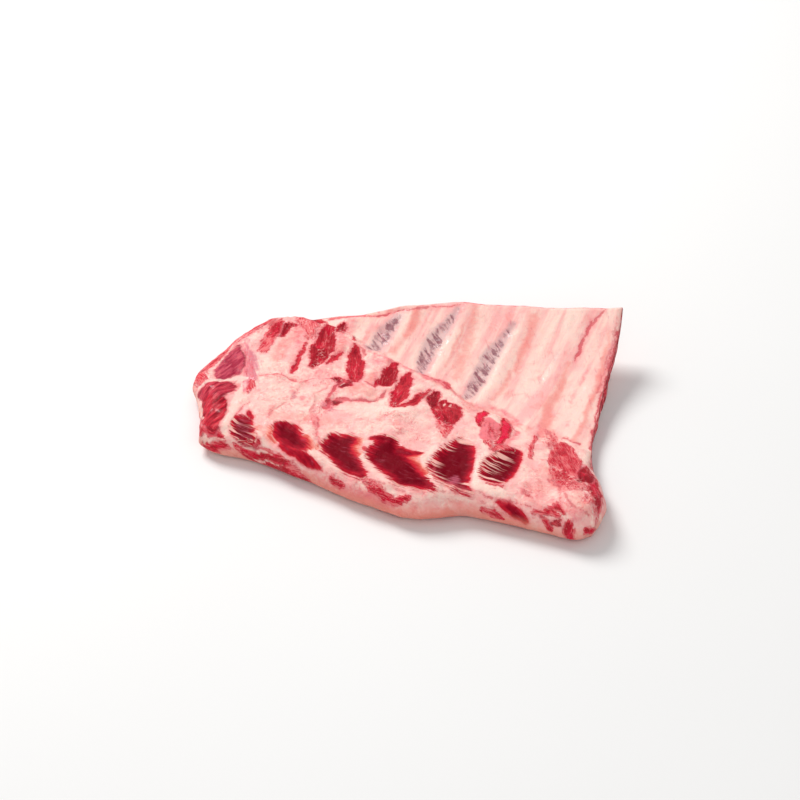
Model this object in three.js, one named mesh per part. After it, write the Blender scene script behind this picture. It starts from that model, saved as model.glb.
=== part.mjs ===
import * as THREE from "three";

// Raw rack of ribs lying bone side up. Millimetres, +Z up, long side along X.
// The near edge is the brisket side, the far edge is where the ribs were sawn.

// Thickness of the bare rib plate and of the meaty brisket side.
const PLATE_THICKNESS = 8.3;
const MEAT_THICKNESS = 17.3;
// Width over which the meat grows to its full thickness past the torn line.
const MEAT_RUN = 32;
// The torn lip of skirt meat standing over the rib plate.
const LIP_HEIGHT = 3.0;

// The natural curve of the ribs: flat up to RISE_START, then an arc.
const RISE_START = -4;
const RISE_RADIUS = 153;

// Height of a rib under its membrane and its half width.
const RIB_HEIGHT = 1.5;
const RIB_HALF_WIDTH = 6.5;
// The ribs flatten between these distances from the torn line, to this share of their height.
const RIB_FADE_START = 28;
const RIB_FADE_END = 74;
const RIB_FAR_SHARE = 0.3;

// How far the red muscle lies below the pale tissue round it.
const WINDOW_DEPTH = 1.1;
const SKIRT_DEPTH = 0.7;

// The four sides of the outline as smooth curves through a few points.
const NEAR_EDGE = [
  [-92, -61.5], [-83, -65], [-62, -65], [-36, -71.5], [-3, -80], [24, -84.5],
  [45, -75.5], [58, -74], [84, -75], [104, -76.5], [111.5, -69.5],
];
const RIGHT_EDGE = [
  [111.5, -69.5], [113, -55], [108, -41], [99, -22], [93.3, -1], [91.3, 24],
  [90, 51], [89, 70], [87.3, 81],
];
const FAR_EDGE = [
  [-92.5, 29], [-87, 37.5], [-78, 44], [-62, 48], [-45, 52], [-21, 60.5],
  [-4, 66.5], [24, 71], [52, 74.5], [87.3, 81],
];
const LEFT_EDGE = [
  [-92, -61.5], [-98.5, -43.5], [-106.5, -29], [-111.5, -14], [-106, 6], [-92.5, 29],
];

// The torn line between the rib plate and the meaty side.
const TORN_LINE = [
  [-116, 41], [-69, 41], [-56, 39], [-44, 36], [-31, 29], [-5, 20.5], [16, 12.5],
  [30, 4], [50, -3.5], [71, -9.5], [97, -13.5], [130, -16],
];

// Where each rib runs: X at the sawn edge, X at the torn line.
const RIBS = [[-37, -52], [-16, -24], [10, 3], [41, 32], [67, 60], [86, 84]];

// Muscle seen between the rib cartilages: points of X, Y and radius along each one.
const WINDOWS = [
  [[-74.5, -48.5, 3.2], [-71.5, -54, 5.2], [-67, -59, 4.2], [-62, -63, 2.4]],
  [[-51.5, -50, 3.8], [-47, -52.8, 6.2], [-41.5, -56, 4.4], [-36, -58.5, 2.4]],
  [[-46, -61.2, 1.4], [-39, -65.2, 3.2], [-32, -69.2, 2.7], [-25.5, -72.6, 0.9]],
  [[-22.5, -51.5, 4.8], [-17, -52, 5.2], [-20, -57.5, 8], [-14, -63, 6.4], [-8.5, -68, 4.8],
    [-3, -71.8, 2.4]],
  [[1.5, -45, 4.2], [2, -51, 7], [6.5, -57, 8.2], [13, -63, 7.4], [20, -68.5, 5.8],
    [27, -71.6, 3.8], [32, -72.6, 1.4]],
  [[35, -37.5, 4.2], [36.5, -43, 6.6], [39, -49, 6.4], [39.5, -55, 6.6], [41, -61, 5.8],
    [43.5, -66, 3]],
  [[58, -36, 4.4], [61.4, -41, 5.4], [61.2, -48, 5.8], [60.8, -54.5, 5.2], [59.5, -60, 1.8]],
  [[64, -71.6, 0.8], [69, -73, 2], [75, -75.4, 2.4], [80.5, -78, 1.2]],
];

// Cut ends of the skirt muscle along the torn line.
const SKIRT_MUSCLES = [
  [[-57.5, 36, 2.6], [-56.5, 29, 4], [-54.5, 21, 5.2], [-53.5, 13, 5], [-53, 6, 3.6]],
  [[-40.5, 27, 1.3], [-39, 20, 3.5], [-36.5, 12, 4.6], [-33, 4, 4.3], [-30.5, -2, 2.6]],
  [[-17.5, 20.5, 2.4], [-16.8, 13, 3.7], [-16, 6, 4.4], [-16, 0.5, 3.6]],
  [[-7.5, 14.5, 1.8], [-6.5, 8, 3.4], [-5.5, 0, 4.5], [-5, -8, 4.6], [-4.5, -13.4, 2.8]],
  [[9.6, 4.5, 2.4], [13, -2, 4.4], [18, -6.5, 5.4], [23, -12, 4.8], [26, -18, 3.2]],
];

// Lumps standing up from the meaty side: X, Y, radius, height.
const LUMPS = [
  [45, -12, 15, 1.8], [101, -60, 17, 2.4], [-30, -14, 16, 1.2], [-2, -33, 24, 1.3],
  [-70, -8, 20, 1.0], [72, -22, 18, 0.9], [24, -80, 14, 1.4], [-94, -35, 22, 1.2],
];

// Cells of the top along X and Y, rings down the side, and top cells per cell below.
const CELLS_X = 72;
const CELLS_Y = 44;
const SIDE_RINGS = 8;
const UNDER_STEP = 4;

function clamp01(x) {
  return Math.min(1, Math.max(0, x));
}

function mix(a, b, t) {
  return a + (b - a) * t;
}

function smooth(a, b, x) {
  const t = clamp01((x - a) / (b - a));
  return t * t * (3 - 2 * t);
}

// A line through points, read at X.
function lineAt(points, x) {
  for (let i = 1; i < points.length; i += 1) {
    if (x <= points[i][0] || i === points.length - 1) {
      const [x0, y0] = points[i - 1];
      const [x1, y1] = points[i];
      return mix(y0, y1, clamp01((x - x0) / (x1 - x0)));
    }
  }
  return points[0][1];
}

// A smooth curve through the points, returned as a function of the share of its length.
function makeCurve(points) {
  const curve = new THREE.CatmullRomCurve3(
    points.map(([x, y]) => new THREE.Vector3(x, y, 0)), false, "catmullrom", 0.5,
  );
  curve.arcLengthDivisions = 400;
  return (t) => {
    const p = curve.getPointAt(clamp01(t));
    return [p.x, p.y];
  };
}

const nearCurve = makeCurve(NEAR_EDGE);
const rightCurve = makeCurve(RIGHT_EDGE);
const farCurve = makeCurve(FAR_EDGE);
const leftCurve = makeCurve(LEFT_EDGE);

// Point of the outline patch for shares u along X and v along Y.
function planPoint(u, v) {
  const near = nearCurve(u);
  const far = farCurve(u);
  const left = leftCurve(v);
  const right = rightCurve(v);
  const corners = [nearCurve(0), nearCurve(1), farCurve(0), farCurve(1)];
  return [0, 1].map((k) => (1 - v) * near[k] + v * far[k] + (1 - u) * left[k] + u * right[k]
    - (1 - u) * (1 - v) * corners[0][k] - u * (1 - v) * corners[1][k]
    - (1 - u) * v * corners[2][k] - u * v * corners[3][k]);
}

// Shares of the point where the top turns into the side: wide on the meaty edges,
// narrow on the two sawn ones.
function topShare(s, t) {
  const near = 0.075;
  const far = 0.018 + 0.055 * smooth(0.38, 0.12, s);
  const left = 0.075;
  const right = 0.014 + 0.03 * smooth(0.40, 0.25, t);
  return [mix(left, 1 - right, s), mix(near, 1 - far, t)];
}

// Squareness of the side: 2 is a half circle, more is a straight sawn face.
function squareness(u, v) {
  const far = smooth(0.93, 1, v) * smooth(0.2, 0.4, u);
  const right = smooth(0.97, 1, u) * smooth(0.28, 0.42, v);
  return 2.2 + 3.0 * Math.max(far, right);
}

function underHeight(y) {
  return Math.max(y - RISE_START, 0) ** 2 / (2 * RISE_RADIUS);
}

// Distance to a run of round blobs, negative inside it.
function blobDistance(x, y, blobs) {
  let best = Infinity;
  for (let i = 1; i < blobs.length; i += 1) {
    const [x0, y0, r0] = blobs[i - 1];
    const [x1, y1, r1] = blobs[i];
    const dx = x1 - x0;
    const dy = y1 - y0;
    const t = clamp01(((x - x0) * dx + (y - y0) * dy) / (dx * dx + dy * dy));
    best = Math.min(best, Math.hypot(x - x0 - dx * t, y - y0 - dy * t) - mix(r0, r1, t));
  }
  return best;
}

// Height of the ribs over the plate, fading out under the meat and flatter at the sawn edge.
function ribHeight(x, y, meat) {
  let height = 0;
  for (const [farX, nearX] of RIBS) {
    const nearY = lineAt(TORN_LINE, nearX);
    const axis = mix(nearX, farX, (y - nearY) / (75 - nearY));
    const across = (x - axis) / RIB_HALF_WIDTH;
    height += RIB_HEIGHT * Math.exp(-across * across);
  }
  const share = mix(RIB_FAR_SHARE, 1, smooth(-RIB_FADE_END, -RIB_FADE_START, meat));
  return (height - 0.5 * RIB_HEIGHT) * share * smooth(6, -4, meat);
}

function topHeight(x, y) {
  const meat = lineAt(TORN_LINE, x) - y;
  const lip = LIP_HEIGHT * (1 - 0.6 * smooth(20, 47, x)) * smooth(-2.4, 3.0, meat);
  const grown = (MEAT_THICKNESS - PLATE_THICKNESS - lip) * smooth(0, MEAT_RUN, meat);
  let height = underHeight(y) + PLATE_THICKNESS + lip + grown;
  height += ribHeight(x, y, meat);
  for (const window of WINDOWS) {
    height -= WINDOW_DEPTH * smooth(1.2, -2.2, blobDistance(x, y, window));
  }
  for (const muscle of SKIRT_MUSCLES) {
    height -= SKIRT_DEPTH * smooth(1.0, -1.6, blobDistance(x, y, muscle));
  }
  for (const [cx, cy, radius, rise] of LUMPS) {
    height += rise * smooth(1, 0, Math.hypot(x - cx, y - cy) / radius);
  }
  return height;
}

// Walk once round the edge of the top grid, anticlockwise seen from above.
function rimLoop() {
  const loop = [];
  for (let i = 0; i < CELLS_X; i += 1) loop.push([i, 0, i / CELLS_X, 0]);
  for (let j = 0; j < CELLS_Y; j += 1) loop.push([CELLS_X, j, 1, j / CELLS_Y]);
  for (let i = CELLS_X; i > 0; i -= 1) loop.push([i, CELLS_Y, i / CELLS_X, 1]);
  for (let j = CELLS_Y; j > 0; j -= 1) loop.push([0, j, 0, j / CELLS_Y]);
  return loop;
}

function buildRack() {
  const points = [];
  const faces = [];
  const addPoint = (x, y, z) => points.push([x, y, z]) - 1;

  // The top.
  const top = [];
  for (let j = 0; j <= CELLS_Y; j += 1) {
    const row = [];
    for (let i = 0; i <= CELLS_X; i += 1) {
      const [x, y] = planPoint(...topShare(i / CELLS_X, j / CELLS_Y));
      row.push(addPoint(x, y, topHeight(x, y)));
    }
    top.push(row);
  }
  for (let j = 0; j < CELLS_Y; j += 1) {
    for (let i = 0; i < CELLS_X; i += 1) {
      const [a, b, c, d] = [top[j][i], top[j][i + 1], top[j + 1][i + 1], top[j + 1][i]];
      if ((i + j) % 2) faces.push([a, b, c], [a, c, d]);
      else faces.push([a, b, d], [b, c, d]);
    }
  }

  // The side, ring by ring from the top edge round to the underside.
  const loop = rimLoop();
  let upper = loop.map(([i, j]) => top[j][i]);
  const inner = upper.map((index) => points[index]);
  for (let ring = 1; ring <= SIDE_RINGS; ring += 1) {
    const angle = (Math.PI * ring) / SIDE_RINGS;
    const lower = loop.map(([, , u, v], k) => {
      const [x0, y0, z0] = inner[k];
      const [x1, y1] = planPoint(u, v);
      const power = 2 / squareness(u, v);
      const out = ring === SIDE_RINGS ? 0 : Math.abs(Math.sin(angle)) ** power;
      const rise = Math.abs(Math.cos(angle)) ** power;
      const under = mix(underHeight(y0), underHeight(y1), out);
      const middle = mix(underHeight(y1), z0, 0.42);
      const z = angle <= Math.PI / 2 + 1e-9
        ? mix(middle, z0, rise)
        : mix(middle, under, rise);
      return addPoint(mix(x0, x1, out), mix(y0, y1, out), z);
    });
    for (let k = 0; k < loop.length; k += 1) {
      const next = (k + 1) % loop.length;
      faces.push([upper[k], lower[k], lower[next]], [upper[k], lower[next], upper[next]]);
    }
    upper = lower;
  }

  // The underside: wide cells, fanned out to the finer points of the rim.
  const under = new Map(loop.map(([i, j], k) => [`${i},${j}`, upper[k]]));
  const underPoint = (i, j) => {
    const key = `${i},${j}`;
    if (!under.has(key)) {
      const [x, y] = planPoint(...topShare(i / CELLS_X, j / CELLS_Y));
      under.set(key, addPoint(x, y, underHeight(y)));
    }
    return under.get(key);
  };
  for (let j = 0; j < CELLS_Y; j += UNDER_STEP) {
    for (let i = 0; i < CELLS_X; i += UNDER_STEP) {
      const i1 = i + UNDER_STEP;
      const j1 = j + UNDER_STEP;
      const edge = [];
      const walk = (fromI, fromJ, toI, toJ, fine) => {
        const steps = fine ? UNDER_STEP : 1;
        for (let n = 0; n < steps; n += 1) {
          edge.push(underPoint(mix(fromI, toI, n / steps), mix(fromJ, toJ, n / steps)));
        }
      };
      walk(i, j, i1, j, j === 0);
      walk(i1, j, i1, j1, i1 === CELLS_X);
      walk(i1, j1, i, j1, j1 === CELLS_Y);
      walk(i, j1, i, j, i === 0);
      const apex = underPoint(i === 0 ? i1 : i, j === 0 ? j1 : j);
      const start = edge.indexOf(apex);
      for (let n = 1; n < edge.length - 1; n += 1) {
        const b = edge[(start + n) % edge.length];
        const c = edge[(start + n + 1) % edge.length];
        faces.push([apex, c, b]);
      }
    }
  }
  return { points, faces };
}

const { points, faces } = buildRack();

// Put the middle of the box over the origin, resting on z = 0.
const box = new THREE.Box3().setFromPoints(points.map(([x, y, z]) => new THREE.Vector3(x, y, z)));
const middle = box.getCenter(new THREE.Vector3());

const geometry = new THREE.BufferGeometry();
geometry.setAttribute("position", new THREE.Float32BufferAttribute(
  points.flatMap(([x, y, z]) => [x - middle.x, y - middle.y, z - box.min.z]), 3,
));
geometry.setIndex(faces.flat());
geometry.computeVertexNormals();

const meatMaterial = new THREE.MeshStandardMaterial({ color: 0xeaa79c, roughness: 0.45 });
const rack = new THREE.Mesh(geometry, meatMaterial);
rack.name = "rib_rack";

const group = new THREE.Group();
group.name = "rack_of_ribs";
group.add(rack);

export default group;
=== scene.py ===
"""A raw rack of ribs lying bone side up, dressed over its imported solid."""

import functools
import math

import bmesh
import bpy
import numpy as np
from mathutils import Matrix, Vector


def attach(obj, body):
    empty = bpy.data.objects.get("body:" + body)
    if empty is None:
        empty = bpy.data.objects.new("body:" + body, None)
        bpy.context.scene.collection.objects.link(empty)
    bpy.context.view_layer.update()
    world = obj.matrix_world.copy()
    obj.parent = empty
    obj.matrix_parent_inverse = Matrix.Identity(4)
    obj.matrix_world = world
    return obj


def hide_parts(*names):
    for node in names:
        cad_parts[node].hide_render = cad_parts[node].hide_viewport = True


bl_info = {
    "name": "Rack of Ribs",
    "version": (1, 0, 0),
    "blender": (4, 5, 0),
    "location": "3D View > Sidebar > Ribs",
    "description": "Builds a raw rack of ribs with its membrane, fat and muscle",
    "category": "Add Mesh",
}

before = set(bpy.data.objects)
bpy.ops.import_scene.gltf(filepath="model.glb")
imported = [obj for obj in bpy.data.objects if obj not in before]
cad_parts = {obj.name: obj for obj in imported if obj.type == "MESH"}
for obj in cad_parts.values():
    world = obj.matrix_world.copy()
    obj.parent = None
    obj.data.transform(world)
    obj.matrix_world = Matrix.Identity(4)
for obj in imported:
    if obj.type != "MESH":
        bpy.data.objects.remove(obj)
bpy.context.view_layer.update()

MM = 0.001

# Closer than this to a border counts as on it.
TINY = 1e-6

# Distances given to places that no run of a kind comes near, in mm.
NOWHERE = 1e9
OUTSIDE = 50.0

# The middle of the rack's box in the frame that the outline below is drawn in.
BOX_MIDDLE = (0.81, -1.80)

# The four sides of the outline as smooth curves through a few points, in millimetres.
NEAR_EDGE = [
    (-92, -61.5), (-83, -65), (-62, -65), (-36, -71.5), (-3, -80), (24, -84.5),
    (45, -75.5), (58, -74), (84, -75), (104, -76.5), (111.5, -69.5),
]
RIGHT_EDGE = [
    (111.5, -69.5), (113, -55), (108, -41), (99, -22), (93.3, -1), (91.3, 24),
    (90, 51), (89, 70), (87.3, 81),
]
FAR_EDGE = [
    (-92.5, 29), (-86.6, 36.4), (-78, 43), (-62, 48), (-45, 52), (-21, 60.5),
    (-4, 66.5), (24, 71), (52, 74.5), (87.3, 81),
]
LEFT_EDGE = [
    (-92, -61.5), (-98.5, -43.5), (-106.5, -29), (-111.2, -16.5), (-105.2, 2),
    (-102.6, 14), (-99.6, 21.4), (-92.5, 29),
]

# The torn line between the rib plate and the meaty side.
TORN_LINE = [
    (-116, 41), (-69, 41), (-56, 39), (-44, 36), (-31, 29), (-5, 20.5), (16, 12.5),
    (30, 4), (50, -3.5), (71, -9.5), (97, -13.5), (130, -16),
]

# Where each rib runs: X at the sawn edge, X at the torn line.
RIBS = [(-37, -52), (-16, -24), (10, 3), (41, 32), (67, 60), (86, 84)]

# Dark muscle between the rib cartilages: the fibres' angle, how far the edge frays on
# the left and on the right, how far pale strands run in, and points of X, Y and radius.
WINDOWS = [
    (-24, 1.4, 0.8, 8.0, [(-75, -49.6, 2.6), (-71.6, -53.4, 6.0), (-69.2, -58.4, 6.0),
                          (-65.2, -61.6, 3.0)]),
    (-56, 0.5, 0.5, 0.0, [(-71.2, -44.8, 1.1), (-68.4, -48.8, 1.6)]),
    (-32, 1.4, 2.0, 0.6, [(-51.6, -51.4, 4.9), (-48, -54.6, 7.4), (-43, -58.6, 6.0), (-38, -61.6, 3.6),
                          (-34.6, -63, 1.5)]),
    (-32, 0.4, 0.6, 0.0, [(-47, -62.6, 2.2), (-41, -66.2, 2.7), (-35, -68.8, 3.0), (-29.6, -71.6, 2.0),
                          (-25.4, -73.6, 0.8)]),
    (-16, 2.0, 1.8, 1.4, [(-24, -51, 4.5), (-18, -51.6, 5.4), (-21, -57.4, 8.6), (-15.6, -64, 6.6),
                          (-9.5, -69.2, 5.2), (-3, -73, 2.4)]),
    (-8, 2.4, 1.4, 1.6, [(3.5, -45.6, 2.8), (2, -50, 6.6), (3.0, -56, 8.8), (10, -62, 9.0),
                         (18.5, -68, 8.2), (26, -71.8, 5.0), (33.6, -73.8, 1.4)]),
    (-10, 1.4, 1.0, 0.0, [(-6.4, -46.6, 1.6), (-1, -46, 2.6)]),
    (-4, 0.8, 1.6, 0.0, [(8, -51.2, 4.2), (13, -51.6, 3.2), (19, -50.4, 1.4)]),
    (-9, 3.4, 0.4, 7.0, [(36, -38, 5.2), (36.4, -43, 8.2), (36.2, -50, 9.8), (36.4, -56, 10.6),
                         (39.4, -62, 8.0), (43.5, -67, 4.4), (50.5, -70.2, 1.1)]),
    (-12, 2.4, 0.5, 15.0, [(61.8, -37, 5.2), (60.4, -42, 7.4), (59.2, -48, 8.8), (58.8, -54, 8.2),
                           (60.6, -57.4, 3.6)]),
    (-26, 0.4, 0.4, 0.0, [(63.6, -71.4, 0.9), (69, -73, 2.3), (75, -75.4, 2.8), (81, -78.8, 1.3)]),
]

# Where a dark muscle fades out through orange instead of ending: softness, strength, points.
GLOWS = [
    (3.0, 1.00, [(-60, -53.6, 2.0), (-58.4, -57, 2.2), (-53.8, -61.4, 1.8)]),
    (3.0, 1.00, [(-37, -56, 1.6), (-32.6, -60.6, 2.0)]),
    (3.0, 1.00, [(-11.4, -50, 1.8), (-10.4, -56, 2.2), (-9.4, -60.6, 1.4)]),
    (3.0, 1.00, [(17.4, -54.4, 2.4), (19.6, -58.4, 2.8), (25, -63, 2.2)]),
    (2.5, 0.40, [(28, -61, 1.4), (34, -66, 1.8), (40, -69, 1.4)]),
]

# Cut ends of the skirt muscle along the torn line: fibre angle, darkness, points.
SKIRT_MUSCLES = [
    (-78, 0.75, [(-57.0, 36, 2.6), (-56, 29, 4.4), (-54.5, 21, 5.4), (-53.8, 13, 5.2), (-53, 6, 4.0),
                 (-54, 0, 1.6)]),
    (-80, 1.0, [(-51.3, 40.6, 2.2), (-50.6, 36.0, 2.4)]),
    (-70, 0.15, [(-44.6, 18, 0.9), (-46.2, 11.5, 1.7), (-47.2, 4.0, 0.9)]),
    (-68, 0.35, [(-39.4, 27.4, 1.2), (-37.4, 20, 3.4), (-34.6, 12, 4.4), (-31.8, 4, 3.9),
                 (-29.4, -4, 2.5)]),
    (-82, 0.85, [(-17.5, 20.5, 2.0), (-16.4, 13, 3.9), (-15.4, 6, 4.4), (-15.4, 0.5, 3.8)]),
    (-76, 0.60, [(-18.6, -1, 1.6), (-18.6, -5, 0.9)]),
    (-82, 0.30, [(-6.8, 15.0, 1.3), (-6.4, 9, 3.2), (-5.4, 1, 4.4), (-4.8, -7, 4.7), (-5.2, -14, 3.2),
                 (-3.6, -19, 1.3)]),
    (70, 0.30, [(6.0, 5, 0.8), (5.5, -1, 1.4), (5.0, -6, 1.7), (3.6, -12, 2.5), (0, -16.6, 1.7),
                (-3, -18.2, 1.3)]),
    (-80, 1.05, [(10.4, 3.6, 2.4), (10.8, -3, 3.0), (12, -8.0, 3.0), (14.4, -11.4, 2.6)]),
    (-60, 0.45, [(13.4, -10, 2.6), (17.4, -13, 4.0), (21.4, -17.6, 4.2)]),
    (-66, 0.40, [(16.6, -3.4, 2.6), (21.2, -7, 5.4), (23.6, -14, 5.8), (25.2, -20, 4.0)]),
    (-80, 0.9, [(-74.4, 32.6, 1.4), (-77.4, 31.4, 2.2), (-78, 26, 1.7), (-77.6, 21, 0.8)]),
    (-85, 0.10, [(-63.0, 20, 0.8), (-62.4, 12, 1.4), (-62.6, 4, 1.0), (-61.8, -3, 1.7), (-61.6, -8, 0.9)]),
    (-60, 0.3, [(-70, 47, 1.6), (-67, 43, 3.0), (-63, 39.5, 2.8)]),
    (-30, 1.1, [(-40.6, -5.8, 1.0), (-37.0, -7.4, 2.8), (-33.6, -8.6, 3.8), (-33.6, -12.0, 2.2)]),
    (-20, 1.2, [(-37, -24.6, 1.0), (-33.6, -24.8, 1.9), (-30.4, -23.2, 1.0)]),
    (-16, 0.55, [(-71, -63.4, 0.9), (-66, -63.6, 1.8), (-61, -63.0, 1.0)]),
    (-74, 0.80, [(97.6, -32, 1.8), (99, -38, 4.0), (100, -43.6, 4.2), (98.4, -47.6, 2.2)]),
    (-20, 1.2, [(93, -77.2, 0.9), (95.6, -76.8, 1.7), (97.6, -78, 0.8)]),
]

# Softer, marbled red: fibre angle, strength, softness of the edge, points.
FLESH = [
    (-62, 0.90, 2.0, [(23.6, -19, 5.0), (25, -26, 3.6), (25.4, -32.6, 0.9)]),
    (-66, 0.52, 4.0, [(71, -4, 2.0), (75, -11, 4.0), (79, -20, 4.0)]),
    (-62, 1.00, 3.0, [(87, -37, 3.0), (90, -44, 4.4), (93, -49, 3.0)]),
    (-62, 0.92, 1.6, [(82.5, -15, 3.6), (84.6, -24, 6.2), (87, -33, 7.8), (89.5, -42, 7.6),
                      (93, -49, 6.0)]),
    (-50, 0.62, 3.0, [(90, -50, 4.0), (97, -54, 4.0), (102, -53, 3.0)]),
    (-55, 1.30, 1.6, [(103.4, -40, 2.0), (105, -46, 2.8), (107.4, -52, 3.4), (109.8, -58, 3.0),
                      (112, -64, 1.8)]),
    (-50, 0.52, 2.6, [(104, -60, 2.0), (111, -66, 2.4), (116, -70, 1.8)]),
    (-52, 1.25, 1.0, [(103, -22.2, 1.2), (106, -25.4, 2.2), (110.5, -32, 2.2), (115, -40, 1.8),
                      (119, -49, 1.2)]),
    (-78, 1.40, 0.8, [(37.4, 0.6, 1.2), (37.0, -4, 2.5), (38.2, -10, 2.1), (39.6, -18, 0.9)]),
    (-66, 1.40, 1.2, [(47.4, -0.6, 0.8), (49.6, -6, 1.9), (51.4, -11, 2.7), (52.4, -17, 2.5),
                      (53.0, -25, 2.3), (52.8, -31, 1.8)]),
    (-70, 0.34, 2.6, [(42.0, -10, 1.6), (44.6, -14, 3.6), (46.6, -20, 4.0), (48.4, -27, 3.4)]),
    (-66, 0.70, 1.6, [(48, -32, 2.0), (51, -35, 1.8), (54, -36, 1.6)]),
    (-70, 0.95, 1.2, [(66.4, -12, 0.8), (67.6, -22, 1.0), (69.4, -31, 1.3), (70.4, -37, 0.7)]),
    (-30, 0.80, 1.2, [(53.4, -35.4, 2.2), (57, -34.2, 3.2), (60.6, -34.4, 2.6)]),
    (-12, 0.70, 1.2, [(56.5, -62.6, 0.7), (61, -63.4, 1.1), (64, -62.6, 0.6)]),
    (-8, 1.00, 1.0, [(-7.6, -54.4, 0.9), (-3.6, -55, 1.6)]),
    (-20, 1.20, 0.8, [(89, -69.4, 0.7), (92, -68.4, 1.6), (97, -71.4, 0.9)]),
    (-14, 1.20, 1.0, [(82, -73.0, 0.8), (89, -72.4, 1.4), (95, -73.6, 1.0)]),
    (-30, 1.15, 1.0, [(88, -75.6, 0.6), (91, -78, 1.1), (95, -81, 1.3)]),
    (-60, 1.30, 1.2, [(100.5, -76.5, 1.3), (104, -81, 2.4), (107.4, -85, 2.0)]),
    (-10, 1.30, 1.2, [(112, -77.5, 1.7), (117, -75.6, 2.4), (119, -73.4, 1.0)]),
    (-10, 0.56, 1.6, [(73, -62, 1.2), (77, -63.4, 1.8), (79.4, -64, 0.8)]),
    (-14, 1.20, 1.6, [(-1, -75.6, 1.2), (4, -79.2, 2.4), (10, -82.6, 2.6), (17, -84, 2.0),
                      (22.4, -82.2, 2.2)]),
    (-14, 1.15, 1.2, [(-18.8, -77.8, 1.5), (-12.6, -78.2, 1.4)]),
    (-18, 1.05, 1.2, [(58, -76.8, 1.1), (64, -78.0, 1.6), (70, -79.4, 0.7)]),
    (-8, 1.25, 1.2, [(-74, -66.8, 1.2), (-64, -67.2, 2.4), (-56, -67.6, 2.6), (-48, -69.6, 2.2),
                     (-43.6, -71.4, 1.0)]),
    (-14, 1.25, 1.6, [(-72, -70.0, 1.8), (-60, -72.2, 3.8), (-50, -75.2, 4.8), (-41, -79.4, 3.6),
                      (-36, -82, 1.8)]),
    (-16, 0.80, 2.0, [(-46, -71, 1.4), (-41, -74.4, 2.2), (-37.4, -79, 1.6)]),
    (84, 1.12, 1.8, [(-82.6, 33, 2.0), (-82.8, 27, 3.4), (-82.4, 20, 3.0)]),
    (86, 0.80, 2.4, [(-82.6, 24, 3.4), (-82.2, 15, 3.4), (-81.8, 5, 2.2)]),
    (-65, 0.24, 2.0, [(-93, 8, 1.0), (-87, -3, 2.6), (-82.4, -14, 3.0), (-79, -25, 2.0)]),
    (64, 0.82, 2.0, [(-99, -43, 1.2), (-96.4, -49, 2.8), (-93.6, -55, 3.4), (-91.4, -60, 2.6)]),
    (82, 1.25, 1.2, [(-100.8, 6, 0.6), (-101.6, -3, 1.0), (-103.0, -12, 1.5), (-106, -17.6, 1.6),
                     (-110, -16.6, 1.2)]),
    (-60, 0.80, 3.0, [(-71, 39, 3.6), (-66, 34, 4.4), (-63.5, 26, 2.0)]),
    (30, 1.10, 2.4, [(-98, 30, 2.2), (-92.5, 36, 2.8), (-85.5, 41, 2.6), (-77, 44.5, 1.6)]),
    (58, 0.74, 3.0, [(-108, -14, 3.0), (-104.4, -6, 3.0), (-102.6, 5, 3.0), (-99, 14, 2.6), (-95, 22, 2.4),
                     (-90.4, 28.6, 2.0), (-83, 34.6, 1.6)]),
    (-50, 1.10, 2.6, [(-117, -28, 2.0), (-113.6, -38, 2.8), (-108, -47, 3.0)]),
    (60, 0.95, 2.6, [(-114, -8, 2.0), (-110.5, 4, 2.2), (-106, 14, 2.2), (-99, 25, 2.2)]),
    (-40, 0.80, 4.0, [(-114, -15, 3.2), (-108.4, -20.4, 4.8), (-104.0, -26.4, 3.2)]),
    (-50, 1.20, 2.2, [(-109, -48, 2.2), (-101.4, -54, 3.2), (-94, -60.4, 3.0)]),
    (-58, 0.95, 3.0, [(-117, -42, 3.0), (-111, -50, 3.0)]),
    (-8, 1.25, 1.0, [(-92, -61, 1.8), (-85.4, -61.6, 2.4), (-79.6, -62.6, 1.6)]),
    (-6, 1.25, 1.0, [(-99, -66.4, 1.1), (-89, -67.6, 1.4), (-79, -66.0, 0.9)]),
    (-60, 0.74, 1.6, [(-78.6, -21, 1.4), (-77.8, -25, 2.2), (-77.4, -29.4, 1.2)]),
    (-60, 0.85, 0.9, [(11.6, 17.6, 0.7), (14, 14.6, 1.3), (14.8, 10.4, 0.8)]),
    (-80, 0.40, 1.6, [(2, 14.4, 1.2), (5.4, 15.2, 1.4), (8.4, 17, 0.8)]),
    (-78, 0.85, 1.0, [(-43, 34, 1.0), (-41.4, 32, 1.3)]),
]

# Muscle cut across at the left end: fibre angle, share of crimson, points.
END_MUSCLES = [
    (74, 0.0, [(-95.2, 5.0, 1.2), (-94.2, -2, 4.4), (-93.0, -9.6, 6.7), (-93.2, -16.0, 6.6),
               (-95.2, -22, 3.4)]),
    (64, 0.60, [(-105.6, -34.2, 1.6), (-100, -35.2, 4.6), (-93.8, -34.0, 7.8), (-88.4, -29.4, 5.0)]),
    (64, 1.0, [(-95, -41, 6.2), (-90.6, -44, 7.4), (-88.4, -52, 6.2), (-86.4, -59, 3.8)]),
]

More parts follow.
